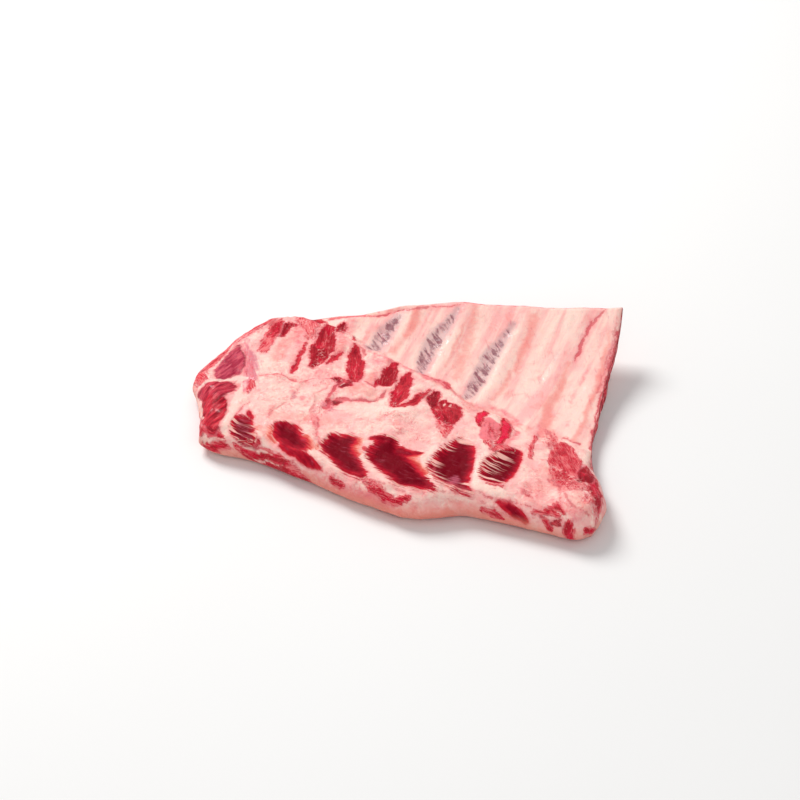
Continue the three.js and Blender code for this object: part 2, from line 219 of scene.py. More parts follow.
# Pale seams over the end muscles, and painted highlights drawn as seams on the torn lump at X 43 to 46 and
# on the skirt muscle at X 18 to 22: points of X, Y, radius.
SEAMS_AND_HIGHLIGHTS = [
    [(-105.6, -30.6, 1.0), (-99, -27.8, 0.9), (-92.6, -24.6, 0.7), (-87, -21.4, 1.0), (-83.6, -19.4, 1.6)],
    [(-97.4, 17, 0.2), (-98.4, 6, 0.3), (-99.2, -6, 0.3), (-100.8, -17, 0.5), (-101.0, -23, 0.3)],
    [(-110, -34, 2.2), (-104, -42, 2.4), (-98.6, -47.4, 1.4), (-94, -52, 0.6)],
    [(-82.4, -24, 0.4), (-81.0, -34, 1.6), (-79.8, -46, 2.0), (-78.6, -56, 1.2)],
    [(-94, -64.8, 0.5), (-86, -64.8, 0.7), (-78, -63.8, 0.4)],
    [(43.2, 0.6, 0.8), (45.6, -3.0, 1.4), (46.4, -6.6, 0.5)],
    [(18.2, -4.4, 0.5), (18.8, -7.4, 0.4)],
    [(20.8, -3.2, 0.2), (21.6, -6.4, 0.4)],
    [(14.6, 0.6, 0.5), (14.4, -5, 0.1)],
    [(-72, -65.4, 0.3), (-62, -65.6, 0.5), (-52, -67.4, 0.2)],
    [(-68, -69.2, 0.3), (-58, -69.8, 0.4), (-48, -72.0, 0.2)],
    [(-36.6, -5.6, 0.2), (-34.4, -8.6, 0.3), (-35.4, -11.4, 0.2)],
]

# Mauve film over muscle that lies deeper, and painted grey-mauve sheen where a film crosses the dark
# muscle, as at X 40, Y -62 to -67: softness, strength and points.
FILMS_AND_SHEEN = [
    (3.0, 0.95, [(-93, 8, 1.0), (-88, 1, 2.4), (-83.6, -6, 3.6), (-81.2, -14, 3.4), (-79, -22, 2.2)]),
    (2.0, 1.00, [(-79, -21, 1.8), (-78, -28, 1.6)]),
    (4.0, 0.60, [(-98, 19, 2.0), (-103, 13, 3.0), (-106, 4, 2.0)]),
    (3.0, 0.80, [(-92.6, 27, 2.0), (-95.6, 20, 2.0), (-97.4, 12, 1.2)]),
    (3.0, 0.40, [(-54.5, -24, 1.6), (-54, -30, 2.2), (-57, -34, 1.0)]),
    (2.4, 0.90, [(39.6, -62.5, 2.4), (41.5, -67, 1.6)]),
    (3.0, 0.34, [(-72, -52, 4.0), (-67, -60, 3.0)]),
    (3.0, 0.55, [(-99, 12, 2.2), (-94, 13, 2.4), (-89, 8, 1.8)]),
    (3.0, 0.65, [(-37, -27, 2.2), (-34.4, -29, 1.8)]),
    (3.0, 0.45, [(46, -36, 1.6), (47, -46, 1.4)]),
]

# Soft blood-pink stain: softness, strength and points.
BLOODS = [
    (2.4, 1.60, [(41.8, -8.0, 2.2), (44.4, -14, 5.2), (47.4, -25, 5.0)]),
    (2.0, 0.80, [(56.6, -11, 1.0), (57.0, -20, 1.2), (56.4, -30, 1.2)]),
    (3.0, 0.75, [(38.6, 6, 1.6), (44, 6, 1.8), (51, 1.6, 1.6), (57, -3, 1.0)]),
    (3.0, 0.80, [(2, 15, 1.6), (8, 17, 1.6), (13, 13, 1.6), (24, 6, 1.4)]),
    (5.0, 0.75, [(-93, 24, 3.0), (-99, 12, 3.0), (-103, 0, 3.0), (-107, -14, 4.0), (-106, -26, 3.0)]),
    (5.0, 0.42, [(-72, 27, 3.4), (-73, 14, 3.4), (-75, 3, 2.4)]),
    (8.0, 0.34, [(-66, -30, 5.0), (-60, -10, 5.0), (-52, -28, 4.0), (-20, -32, 4.0)]),
    (4.0, 0.45, [(-86, -60, 2.0), (-94, -58, 3.0), (-101, -52, 3.0)]),
    (6.0, 0.60, [(-94, -68, 4.0), (-70, -68, 4.0), (-40, -78, 4.0), (-10, -82, 4.0), (16, -86, 4.0)]),
    (6.0, 0.30, [(77, -48, 4.0), (78, -58, 5.0), (80, -66, 4.0)]),
    (5.0, 0.60, [(66, -2, 2.0), (68, -14, 2.4), (70, -28, 2.4)]),
    (2.6, 0.80, [(-36, 30, 1.0), (-30, 26, 1.0), (-20, 22, 1.0), (-6, 18, 1.0)]),
    (4.0, 0.55, [(-73, 38, 3.0), (-69, 30, 4.0), (-67, 18, 3.0)]),
    (4.0, 0.55, [(-56, -5, 2.0), (-46, -2, 3.0), (-38, -4, 3.0), (-28, -4, 2.0)]),
    (4.0, 0.50, [(-46, 42, 3.0), (-48, 30, 3.0), (-44, 18, 2.0)]),
    (3.0, 0.60, [(-32, 30, 2.0), (-28, 24, 1.4), (-24, 14, 1.4), (-22, 2, 1.6)]),
    (3.0, 0.65, [(-19, 24, 1.4), (-10, 21, 1.6), (2, 18, 2.0), (14, 14, 2.0)]),
    (3.0, 0.50, [(24, 8, 1.6), (33, 4, 1.6), (40, 2, 2.0), (54, -4, 2.0)]),
    (4.0, 0.45, [(8, -30, 1.6), (4, -25, 1.0)]),
    (4.0, 0.60, [(83, -62, 3.0), (92, -66, 3.0), (104, -72, 3.0)]),
    (3.0, 0.60, [(112, -50, 4.0), (118, -60, 4.0)]),
    (2.0, 0.60, [(-75, -16, 1.0), (-66, -13, 1.0), (-58, -13, 1.4)]),
    (2.4, 0.50, [(-79, -34, 1.0), (-77.5, -42, 1.4), (-78, -50, 1.2)]),
    (2.4, 0.50, [(-63, -32, 1.0), (-62, -42, 1.2), (-60, -48, 1.2)]),
    (2.4, 0.50, [(-41, -34, 1.2), (-37, -44, 1.6), (-33, -56, 1.6)]),
    (2.4, 0.60, [(76, 20, 0.8), (78.5, 34, 1.0), (79, 42, 0.6)]),
    (3.0, 0.40, [(52, 31, 2.0), (55, 32, 1.0)]),
]

# Thin red cracks and cut lines: width, strength and points of X and Y.
CRACKS = [
    (0.30, 0.60, [(-76, -16), (-70, -14), (-60, -12.6), (-55, -14.4), (-50, -9.4), (-41, -6.2)]),
    (0.60, 0.90, [(-35, -6), (-37, -12), (-36.6, -16), (-38, -21)]),
    (0.40, 0.75, [(-33, -22), (-27, -21), (-22, -20.6), (-17, -18.6), (-13.5, -13), (-11.5, -7)]),
    (0.90, 0.80, [(-37.6, -22.6), (-35.4, -25), (-36.6, -30)]),
    (0.30, 0.45, [(-41.5, -28), (-42.2, -34), (-41, -40), (-37.5, -44)]),
    (0.35, 0.60, [(-38, -38), (-35.5, -45), (-33, -51), (-30.5, -57)]),
    (0.30, 0.50, [(-2, -24), (-4, -28), (-6.5, -30)]),
    (0.30, 0.40, [(-57, -31), (-60, -38), (-61.5, -47)]),
    (0.40, 0.50, [(-73.5, -37), (-76, -42), (-76.8, -47)]),
    (0.30, 0.35, [(-40, -12), (-44, -22), (-42.5, -27)]),
    (0.35, 0.50, [(28, -58), (32, -67), (44, -69.5), (56, -69.6)]),
    (0.40, 0.65, [(56, -70.0), (70, -70.6), (84, -70.0), (92, -68.0)]),
    (0.55, 0.75, [(73.5, 70), (72.8, 62), (71.6, 52), (70.2, 47)]),
    (0.45, 0.40, [(86.4, 72), (87.4, 60), (87.8, 44), (87.6, 28)]),
    (0.50, 0.80, [(0, 18.6), (6, 18.2), (11.6, 17.4), (12.4, 12.0), (15.6, 8.6)]),
    (0.45, 0.70, [(-38.5, 29.0), (-35.0, 26.0), (-33.0, 22.0)]),
    (0.45, 0.65, [(-24, -3.6), (-20, -4.8), (-15, -3.4)]),
    (0.40, 0.70, [(80, -7), (85, -8.6), (89, -9.4)]),
    (0.35, 0.50, [(93, -58), (96, -64), (101, -68), (108, -70)]),
    (0.50, 0.80, [(-59, 44.6), (-48, 48.0), (-34, 52.6), (-22, 57.2)]),
    (0.30, 0.60, [(-22, 57.2), (-8, 62.4), (6, 66.0), (22, 69.4), (40, 72.2), (56, 74.4), (72, 77.4),
                  (86, 80.6)]),
    (0.55, 0.85, [(88.4, 66), (89.8, 48), (90.8, 24), (92.4, 4), (94.6, -10)]),
    (0.35, 0.60, [(79.6, 77), (76.4, 72), (73.8, 67)]),
    (0.35, 0.45, [(2.0, -77), (12, -76.0), (22, -79.5), (30, -77.0)]),
    (0.35, 0.40, [(36, -74), (46, -71.6), (58, -73.4), (74, -78.6)]),
    (0.35, 0.60, [(50, -2.5), (54, -8), (57.6, -11)]),
    (0.35, 0.50, [(84, -50), (90, -55), (92.5, -62), (94, -67)]),
]

# Net of fine red veins in the fat: softness, strength and points.
LACES = [
    (6.0, 1.00, [(-75, -16, 3.0), (-60, -14, 3.0), (-50, -12, 3.0), (-42, -8, 3.0)]),
    (3.0, 1.20, [(82, -40, 1.0), (88, -48, 4.0), (95, -52, 4.4), (102, -58, 3.4), (110, -66, 2.0)]),
    (2.0, 0.80, [(16, -12, 1.0), (19, -17, 2.0), (24, -24, 3.0), (25.6, -32, 1.0)]),
    (2.6, 1.20, [(44.6, -15, 2.0), (47.6, -24, 3.0), (49, -31, 2.4)]),
    (2.4, 1.00, [(-55, 18, 1.6), (-52, 8, 2.0), (-53, 0, 1.6)]),
    (2.4, 0.90, [(-9, -4, 1.0), (-8, -12, 2.0), (-4, -18, 1.6)]),
    (6.0, 0.90, [(-56, -22, 3.0), (-55, -32, 4.0), (-60, -40, 3.0)]),
    (5.0, 1.00, [(-38, -16, 3.0), (-37, -30, 3.0), (-39, -42, 3.0), (-33, -54, 2.0)]),
    (6.0, 0.80, [(-5, -28, 4.0), (6, -27, 4.0), (14, -38, 4.0), (5, -36, 3.0)]),
    (6.0, 1.00, [(-73, 36, 4.0), (-67, 28, 4.0), (-65, 14, 3.0)]),
    (6.0, 0.80, [(-48, 36, 4.0), (-47, 24, 3.0)]),
    (6.0, 0.70, [(74, -46, 4.0), (82, -56, 5.0), (74, -62, 4.0)]),
    (6.0, 0.80, [(98, -50, 4.0), (104, -58, 5.0), (100, -66, 4.0)]),
    (5.0, 0.70, [(44, -72, 3.0), (62, -74, 3.0), (86, -76, 3.0)]),
    (5.0, 0.70, [(-24, -76, 3.0), (-6, -74, 3.0), (8, -78, 3.0)]),
    (7.0, 0.60, [(-96, 20, 4.0), (-80, 20, 4.0)]),
    (5.0, 0.60, [(0, 12, 3.0), (18, 8, 3.0), (30, -2, 3.0)]),
    (9.0, 0.60, [(-20, -96, 8.0), (40, -96, 8.0), (80, -92, 8.0)]),
]

# Salmon tint under the surface: softness, strength and points.
BLUSHES = [
    (3.0, 0.90, [(-16.5, 58, 2.0), (-16, 50, 2.2), (-17.5, 42, 1.0)]),
    (3.5, 0.62, [(13, 66, 1.6), (14.6, 52, 3.0), (15, 36, 3.4), (16, 24, 3.0)]),
    (1.8, 0.75, [(11, 60, 0.6), (8.6, 42, 0.6), (8.4, 28, 0.6)]),
    (3.0, 0.75, [(44.6, 66, 2.2), (44.2, 48, 2.2), (43.0, 34, 1.2)]),
    (2.0, 0.60, [(40.5, 32, 1.2), (40, 20, 1.6), (38.5, 12, 1.2)]),
    (2.6, 0.80, [(68.5, 44, 0.8), (68, 30, 1.8), (66.6, 16, 2.2), (68.6, 2, 2.4), (69, -8, 2.4)]),
    (2.0, 0.75, [(84.6, 66, 0.8), (86.0, 48, 1.0), (86.8, 26, 1.4), (86.2, 6, 1.0), (85.6, -8, 1.4)]),
    (3.0, 0.45, [(52, 30, 1.6), (54, 31, 1.0)]),
    (3.5, 0.60, [(-21, 32, 2.0), (-19, 38, 1.4)]),
    (4.0, 0.55, [(-2, 14.5, 2.0), (8, 14, 3.0), (18, 10, 2.0), (30, 2, 1.4)]),
    (5.0, 0.65, [(-72, 27, 4.0), (-74, 14, 4.0), (-74, 2, 3.0)]),
    (5.0, 0.60, [(-46, 26, 3.0), (-47, 18, 3.0)]),
    (3.5, 0.65, [(-24, 10, 1.6), (-24, 2, 2.6), (-22, -2, 2.0)]),
    (6.0, 0.60, [(-28, -12, 5.0), (-18, -12, 4.0)]),
    (7.0, 0.25, [(-12, -34, 6.0), (2, -30, 6.0), (12, -36, 5.0)]),
    (5.0, 0.55, [(-62, -40, 3.0), (-58, -44, 4.0), (-46, -42, 3.0), (-32, -40, 4.0)]),
    (5.0, 0.80, [(71, -2, 2.0), (75, -8, 3.0), (76, -18, 2.0)]),
    (4.0, 0.80, [(84, -44, 4.0), (90, -52, 4.0), (98, -54, 4.0)]),
    (6.0, 0.45, [(78, -44, 4.0), (84, -54, 4.0), (76, -62, 4.0)]),
    (4.0, 0.50, [(100, -57, 3.0), (102, -66, 5.0), (108, -68, 3.0)]),
    (8.0, 0.90, [(-90, -74, 4.0), (-60, -76, 4.0), (-30, -84, 5.0), (0, -88, 6.0), (24, -93, 6.0),
                 (40, -86, 5.0)]),
    (5.0, 0.70, [(44, -76, 3.0), (58, -80, 4.0), (80, -84, 4.0), (96, -86, 4.0)]),
    (5.0, 1.10, [(-112, 6, 3.0), (-118, -10, 4.0), (-112, -22, 3.0)]),
    (4.0, 0.55, [(-60, 47, 1.6), (-44, 51, 1.6), (-30, 55, 1.6)]),
    (4.0, 0.60, [(-34, 45, 2.0), (-32, 38, 2.0)]),
    (2.0, 0.60, [(30, 2, 1.0), (40, 3, 1.4), (52, -3, 1.4), (62, -5, 1.4)]),
]

# Grey-violet muscle showing through the membrane beside a rib.
BRUISES = [
    (4.5, 1.10, [(-25.0, 52, 2.0), (-28.6, 42, 4.2), (-31, 31, 3.6)]),
    (3.4, 1.05, [(4, 63, 1.0), (2.0, 55, 2.6), (-1.6, 47, 4.2), (-3.0, 38, 4.4), (-3.6, 29, 3.6),
                 (-2.6, 21, 2.0)]),
    (3.4, 1.00, [(34.6, 60, 1.2), (31.4, 49, 2.6), (29, 41, 4.4), (27.4, 31, 4.2), (26.6, 20, 4.0),
                 (25.4, 11, 2.4)]),
    (2.6, 0.40, [(62, 52, 1.0), (61.0, 44, 1.2)]),
    (2.6, 0.40, [(58.4, 31, 1.0), (58.0, 28, 1.2)]),
    (4.0, 0.32, [(57.2, 18, 1.4), (57, 8, 1.6)]),
    (2.6, 0.40, [(64, 70, 0.8), (63.4, 64, 1.0)]),
]

# Bright strips: tight membrane over a rib, cartilage and clean fat; the strips along the rib ridges and the
# one on the torn lump at X 42 to 46 are partly painted highlight.
BRIGHTS_AND_HIGHLIGHTS = [
    (4.0, 0.80, [(9.6, 64, 1.0), (6.0, 44, 1.6), (4.0, 24, 1.6)]),
    (4.0, 0.90, [(39, 66, 1.0), (36.4, 46, 1.8), (34.6, 26, 2.0), (33.0, 8, 1.8)]),
    (5.0, 0.65, [(54, 68, 2.0), (52.0, 48, 3.0), (51.0, 20, 3.0), (50, 4, 3.0)]),
    (4.0, 0.65, [(77, 64, 1.4), (75.4, 36, 2.0), (74.0, 14, 2.0)]),
    (4.0, 0.40, [(-19, 28, 1.4), (-13, 40, 1.4), (-9, 56, 1.4)]),
    (4.0, 0.90, [(-28, -28, 3.0), (-14, -26, 5.0), (2, -22, 5.0), (12, -26, 4.0)]),
    (4.0, 0.30, [(-64, -20, 4.0), (-50, -24, 3.0), (-58, -6, 3.0)]),
    (3.0, 0.90, [(-66, -52, 1.8), (-60, -62, 1.2), (-46, -71, 0.8)]),
    (3.0, 0.70, [(-36, -48, 1.4), (-31, -60, 1.6), (-22, -68, 1.6), (-12, -74, 1.6)]),
    (3.0, 0.80, [(-7, -60, 1.2), (0, -69, 1.6), (10, -76, 1.6)]),
    (3.0, 0.90, [(24, -44, 1.6), (24, -56, 1.2), (30, -68, 1.0), (38, -74, 2.0), (52, -73, 1.4)]),
    (2.6, 1.10, [(47.2, -32, 1.6), (49.0, -44, 2.4), (49.6, -56, 2.0), (52, -65, 1.8), (64, -67, 1.6)]),
    (4.0, 0.60, [(70, -44, 2.0), (71, -56, 2.6)]),
    (2.0, 0.90, [(-24, 13, 1.8), (-26, 4, 1.6)]),
    (2.0, 0.90, [(1.0, 6, 1.2), (0.6, -4, 1.0)]),
    (3.0, 0.85, [(-5, 17, 1.4), (6, 10, 1.2), (20, 5, 1.8), (26, -4, 2.0), (33, -14, 2.0)]),
    (3.0, 0.80, [(58, -4, 1.6), (62, -14, 2.0), (62, -26, 2.0)]),
    (3.0, 0.70, [(96, -18, 2.0), (94, -28, 1.4)]),
    (2.4, 0.90, [(-78, -36, 2.0), (-80, -52, 1.6), (-77, -62, 1.2)]),
    (4.0, 0.60, [(-92, 24, 2.0), (-90, 14, 2.0), (-88, 2, 1.4)]),
    (3.0, 0.60, [(-79, 20, 1.6), (-77, 8, 2.0), (-74, -6, 3.0)]),
    (1.2, 1.60, [(41.6, 0.6, 1.2), (44.4, -3.6, 2.6), (46, -7.6, 0.9)]),
    (1.4, 1.10, [(56, -7.6, 0.8), (59, -9, 1.0)]),
]

# Lumps and hollows of the meaty side: X, Y, radius, height.
LUMPS = [
    (45, -12, 15, 1.8), (101, -60, 17, 2.4), (-30, -14, 16, 1.2), (-2, -33, 24, 1.3),
    (-70, -8, 20, 1.0), (72, -22, 18, 0.9), (24, -80, 14, 1.4), (-94, -35, 22, 1.2),
]

# Edges of overlapping fat sheets: step in mm (higher on the left of the line), reach, points.
LEDGES = [
    (1.1, 6.0, [(-41, -5.0), (-50, -9.0), (-56, -14.0), (-66, -13.0), (-78, -16.0)]),
    (1.2, 7.0, [(-38, -31), (-36, -22), (-26, -21), (-18, -19), (-13, -12), (-11, -4)]),
    (1.0, 5.0, [(-36, -18), (-37, -12), (-34, -3), (-22, -1), (-12, 0)]),
    (1.0, 6.0, [(-32, -60), (-36, -48), (-40, -38), (-42, -28)]),
    (0.9, 6.0, [(-60, -50), (-62, -38), (-57, -28), (-54, -18)]),
    (1.3, 5.0, [(15, -72), (30, -68.5), (45, -71), (58, -70.5), (78, -71.5), (92, -68)]),
    (1.2, 5.0, [(-16, -74), (0, -76), (14, -78), (28, -79)]),
    (1.0, 6.0, [(92, -50), (92, -60), (97, -68), (106, -72)]),
    (1.2, 4.0, [(-72, -60), (-62, -62), (-50, -67), (-38, -73), (-26, -76)]),
    (0.8, 5.0, [(20, -34), (10, -33), (0, -36), (-10, -33), (-16, -36)]),
]

# Depth of the hollows over the dark and the skirt muscles, and Y of the ribs' far ends, in mm.
WINDOW_HOLLOW = 0.8
SKIRT_HOLLOW = 0.6
RIB_END_Y = 75

# The top turns into the side this far in from the edge, as a share of the outline patch.
MEATY_BORDER = 0.075
FAR_BORDER = 0.018
RIGHT_BORDER = 0.014

# Power of the side's curve on rounded edges and what sawn ones add to it, and where between
# the outer underside and the top the side is widest.
ROUNDED_POWER = 2.2
SAWN_POWER = 3.0
WIDEST = 0.42

# Wrinkles of the surface: size, height on the plate, further height on the fat, in mm.
WRINKLES = [(12, 0.12, 0.75), (5.2, 0.07, 0.42), (2.3, 0.03, 0.20)]

# Random pushes that tear edges and bend fibres: size, amount in mm, seed.
TEARS = [(7.0, 0.9, 21), (3.0, 0.6, 23), (1.7, 0.4, 25)]
RELIEF_TEARS = [(7.0, 1.2, 21), (3.0, 0.6, 23)]
FIBRE_BENDS = [(16.0, 1.6, 31)]

# Fibre angle where no muscle is near, in degrees.
PLATE_FIBRES = -70.0

# The sides are sawn beyond these X and Y: the right end, and the far edge.
SAWN_RIGHT = (84, -30)
SAWN_FAR = (-66, 40)

# A cut rib end: half its width, half its height, and its middle over the underside, in mm.
BONE_HALF_WIDTH = 6.0
BONE_HALF_HEIGHT = 2.7
BONE_MIDDLE = 4.3


def rgb(red, green, blue):
    """A colour given as the 0 to 255 numbers of a picture, made linear."""
    linear = []
    for value in (red, green, blue):
        share = value / 255
        linear.append(share / 12.92 if share <= 0.04045 else ((share + 0.055) / 1.055) ** 2.4)
    return (*linear, 1.0)


# Curves, steps and distances


def mix(a, b, t):
    """The value a share t of the way from a to b."""
    return a + (b - a) * t


def smooth(a, b, x):
    """A smooth step from 0 to 1 as x goes from a to b."""
    t = np.clip((x - a) / (b - a), 0, 1)
    return t * t * (3 - 2 * t)


def make_curve(points):
    """A smooth curve through the points, read by the share of its length."""
    knots = np.array(points, float)
    knots = np.vstack([2 * knots[0] - knots[1], knots, 2 * knots[-1] - knots[-2]])
    shares = np.linspace(0, 1, 40, endpoint=False)[:, None]
    path = []
    for a, b, c, d in zip(knots, knots[1:], knots[2:], knots[3:]):
        path.append(0.5 * (2 * b + (c - a) * shares + (2 * a - 5 * b + 4 * c - d) * shares ** 2
                           + (3 * b - a - 3 * c + d) * shares ** 3))
    path = np.vstack(path + [knots[-2][None]])
    length = np.r_[0, np.cumsum(np.linalg.norm(np.diff(path, axis=0), axis=1))]
    length /= length[-1]

    def read(share):
        return np.stack([np.interp(share, length, path[:, k]) for k in (0, 1)], -1)

    return read


def line_at(points, x):
    """Y of a line through the points at x."""
    return np.interp(x, [p[0] for p in points], [p[1] for p in points])


def run_distance(x, y, run):
    """Distance to a run of round blobs, negative inside, and how far left of its middle."""
    best = np.full(np.shape(x), NOWHERE)
    side = np.zeros(np.shape(x))
    for (x0, y0, r0), (x1, y1, r1) in zip(run, run[1:]):
        dx, dy = x1 - x0, y1 - y0
        t = np.clip(((x - x0) * dx + (y - y0) * dy) / (dx * dx + dy * dy), 0, 1)
        away = np.hypot(x - x0 - dx * t, y - y0 - dy * t) - mix(r0, r1, t)
        nearer = away < best
        best = np.where(nearer, away, best)
        side = np.where(nearer, x0 + dx * t - x, side)
    return best, side


def line_distance(x, y, points):
    """Distance to a thin line through the points."""
    return run_distance(x, y, [(px, py, 0.0) for px, py in points])[0]


def soft_runs(x, y, runs):
    """The strongest of several soft runs of (softness, strength, points) at each place."""
    value = np.zeros(np.shape(x))
    for softness, strength, run in runs:
        away, _ = run_distance(x, y, run)
        value = np.maximum(value, strength * smooth(softness, -0.6 * softness, away))
    return value


def wrinkles(x, y, size, seed):
    """Smooth random height between -1 and 1 with the given size of wrinkle."""
    table = np.random.RandomState(seed).uniform(-1, 1, (64, 64))
    u, v = x / size + 500, y / size + 500
    i, j = np.floor(u).astype(int), np.floor(v).astype(int)
    fu, fv = u - i, v - j
    fu, fv = fu * fu * (3 - 2 * fu), fv * fv * (3 - 2 * fv)
    corner = table[i % 64, j % 64] * (1 - fu) + table[(i + 1) % 64, j % 64] * fu
    across = table[i % 64, (j + 1) % 64] * (1 - fu) + table[(i + 1) % 64, (j + 1) % 64] * fu
    return corner * (1 - fv) + across * fv


near_curve = make_curve(NEAR_EDGE)
right_curve = make_curve(RIGHT_EDGE)
far_curve = make_curve(FAR_EDGE)
left_curve = make_curve(LEFT_EDGE)


def plan_point(u, v):
    """The point of the outline patch for shares u along X and v along Y."""
    u, v = np.asarray(u, float), np.asarray(v, float)
    near, far = near_curve(u), far_curve(u)
    left, right = left_curve(v), right_curve(v)
    corner = [np.array(p, float) for p in (NEAR_EDGE[0], NEAR_EDGE[-1], FAR_EDGE[0], FAR_EDGE[-1])]
    u, v = u[..., None], v[..., None]
    return ((1 - v) * near + v * far + (1 - u) * left + u * right
            - (1 - u) * (1 - v) * corner[0] - u * (1 - v) * corner[1]
            - (1 - u) * v * corner[2] - u * v * corner[3])


def top_share(s, t):
    """Where the top turns into the side: wide on meaty edges, narrow on sawn ones."""
    far = FAR_BORDER + 0.055 * smooth(0.38, 0.12, s)
    right = RIGHT_BORDER + 0.03 * smooth(0.40, 0.25, t)
    return mix(MEATY_BORDER, 1 - right, s), mix(MEATY_BORDER, 1 - far, t)


def squareness(u, v):
    """Power of the side's curve: low on rounded edges, high on the sawn far and right ones."""
    far = smooth(0.93, 1, v) * smooth(0.2, 0.4, u)
    right = smooth(0.97, 1, u) * smooth(0.28, 0.42, v)
    return ROUNDED_POWER + SAWN_POWER * np.maximum(far, right)


def under_height(y, rack):
    """Height of the underside, where the ribs' natural curve lifts it off the ground."""
    return np.maximum(y - rack.rise_start, 0) ** 2 / (2 * rack.rise_radius)


def rib_height(x, y, meat, rack):
    """What the ribs under the membrane add; meat is the distance past the torn line."""
    height = np.zeros(np.shape(x))
    for far_x, near_x in RIBS:
        near_y = line_at(TORN_LINE, near_x)
        axis = mix(near_x, far_x, (y - near_y) / (RIB_END_Y - near_y))
        height += rack.rib_height * np.exp(-((x - axis) / rack.rib_half_width) ** 2)
    fading = mix(0.3, 1.0, smooth(-74, -28, meat))
    return (height - 0.5 * rack.rib_height) * smooth(6, -4, meat) * fading


def top_height(x, y, rack):
    """Height of the upper surface over the ground."""
    meat = line_at(TORN_LINE, x) - y
    lip = rack.lip_height * (1 - 0.6 * smooth(20, 47, x)) * smooth(-2.4, 3.0, meat)
    grown = (rack.meat_thickness - rack.plate_thickness - lip) * smooth(0, 32, meat)
    height = under_height(y, rack) + rack.plate_thickness + lip + grown
    height += rib_height(x, y, meat, rack)
    for hollow, reach, muscles in ((WINDOW_HOLLOW, 3.4, WINDOWS), (SKIRT_HOLLOW, 2.0, SKIRT_MUSCLES)):
        for *_, run in muscles:
            height -= hollow * smooth(0.8, -reach, run_distance(x, y, run)[0])
    for cx, cy, radius, rise in LUMPS:
        height += rise * smooth(1, 0, np.hypot(x - cx, y - cy) / radius)
    return height


def ledge(x, y, points):
    """Distance to a line through the points, positive on the left of its run."""
    best = np.full(np.shape(x), NOWHERE)
    signed = np.full(np.shape(x), NOWHERE)
    for (x0, y0), (x1, y1) in zip(points, points[1:]):
        dx, dy = x1 - x0, y1 - y0
        t = np.clip(((x - x0) * dx + (y - y0) * dy) / (dx * dx + dy * dy), 0, 1)
        away = np.hypot(x - x0 - dx * t, y - y0 - dy * t)
        left = np.where(dx * (y - y0) - dy * (x - x0) >= 0, 1.0, -1.0)
        signed = np.where(away < best, left * away, signed)
        best = np.minimum(best, away)
    return signed


def warp(x, y, pushes):
    """Places pushed about at random, so that edges drawn there come out torn."""
    for size, amount, seed in pushes:
        turned_x, turned_y = 0.83 * x + 0.56 * y, 0.83 * y - 0.56 * x
        x, y = (x + amount * wrinkles(turned_x, turned_y, size, seed),
                y + amount * wrinkles(turned_x, turned_y, size, seed + 1))
    return x, y


def fine_relief(skin_x, skin_y):
    """Wrinkles, overlapping fat sheets, grooves along the cracks and swelling strips."""
    meat = line_at(TORN_LINE, skin_x) - skin_y
    fatty = smooth(-2, 6, meat)
    height = np.zeros(np.shape(skin_x))
    for seed, (size, plate_part, fat_part) in enumerate(WRINKLES, 1):
        height += (plate_part + fat_part * fatty) * wrinkles(skin_x, skin_y, size, seed)
    torn = np.exp(-((meat - 1.5) / 2.4) ** 2)
    height += 0.9 * torn * wrinkles(skin_x * 1.4 + skin_y, skin_y, 3.1, 4)
    x, y = warp(skin_x, skin_y, RELIEF_TEARS)
    for rise, reach, points in LEDGES:
        away = ledge(x, y, points)
        height += 0.6 * rise * (smooth(-0.9, 0.9, away) - 0.5) * np.exp(-(away / reach) ** 2)
    for width, strength, points in CRACKS:
        height -= 0.12 * strength * np.exp(-(line_distance(x, y, points) / (0.6 + width)) ** 2)
    for rise, strips in ((0.45, BRIGHTS_AND_HIGHLIGHTS), (-0.35, BRUISES)):
        for softness, strength, run in strips:
            height += rise * strength * smooth(softness, -softness, run_distance(x, y, run)[0])
    return height


# The rack's mesh


def add_object(name, bm, material, nodes):
    """A finished piece of the object, riding on its body in place of the named solids."""
    mesh = bpy.data.meshes.new(name)
    bm.to_mesh(mesh)
    bm.free()
    mesh.materials.append(material)
    mesh.polygons.foreach_set("use_smooth", [True] * len(mesh.polygons))
    piece = bpy.data.objects.new(name, mesh)
    bpy.context.scene.collection.objects.link(piece)
    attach(piece, "root")
    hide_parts(*nodes)
    return piece


def block_lattice(cells_x, cells_y, rings):
    """A unit block cut into cells along X and Y and into rings along Z."""
    bm = bmesh.new()
    bmesh.ops.create_cube(bm, size=1.0, matrix=Matrix.Translation((0.5, 0.5, 0.5)))
    for axis, cells in ((0, cells_x), (1, cells_y), (2, rings)):
        along = [e for e in bm.edges if abs(e.verts[0].co[axis] - e.verts[1].co[axis]) > 0.5]
        bmesh.ops.subdivide_edges(bm, edges=along, cuts=cells - 1, use_grid_fill=True)
    return bm


def side_point(s, t, angle, rack):
    """A point of the side, from angle 0 at the top edge to pi at the underside."""
    inner = plan_point(*top_share(s, t))
    outer = plan_point(s, t)
    power = 2 / squareness(s, t)
    out = np.abs(np.sin(angle)) ** power
    out = np.where(angle > math.pi - TINY, 0, out)
    rise = np.abs(np.cos(angle)) ** power
    z_top = top_height(inner[..., 0], inner[..., 1], rack)
    z_in = under_height(inner[..., 1], rack)
    z_out = under_height(outer[..., 1], rack)
    middle = mix(z_out, z_top, WIDEST)
    low = mix(z_in, z_out, out)
    upper = angle <= math.pi / 2 + 1e-9
    z = mix(middle, np.where(upper, z_top, low), rise)
    return inner, outer, inner + (outer - inner) * out[..., None], z


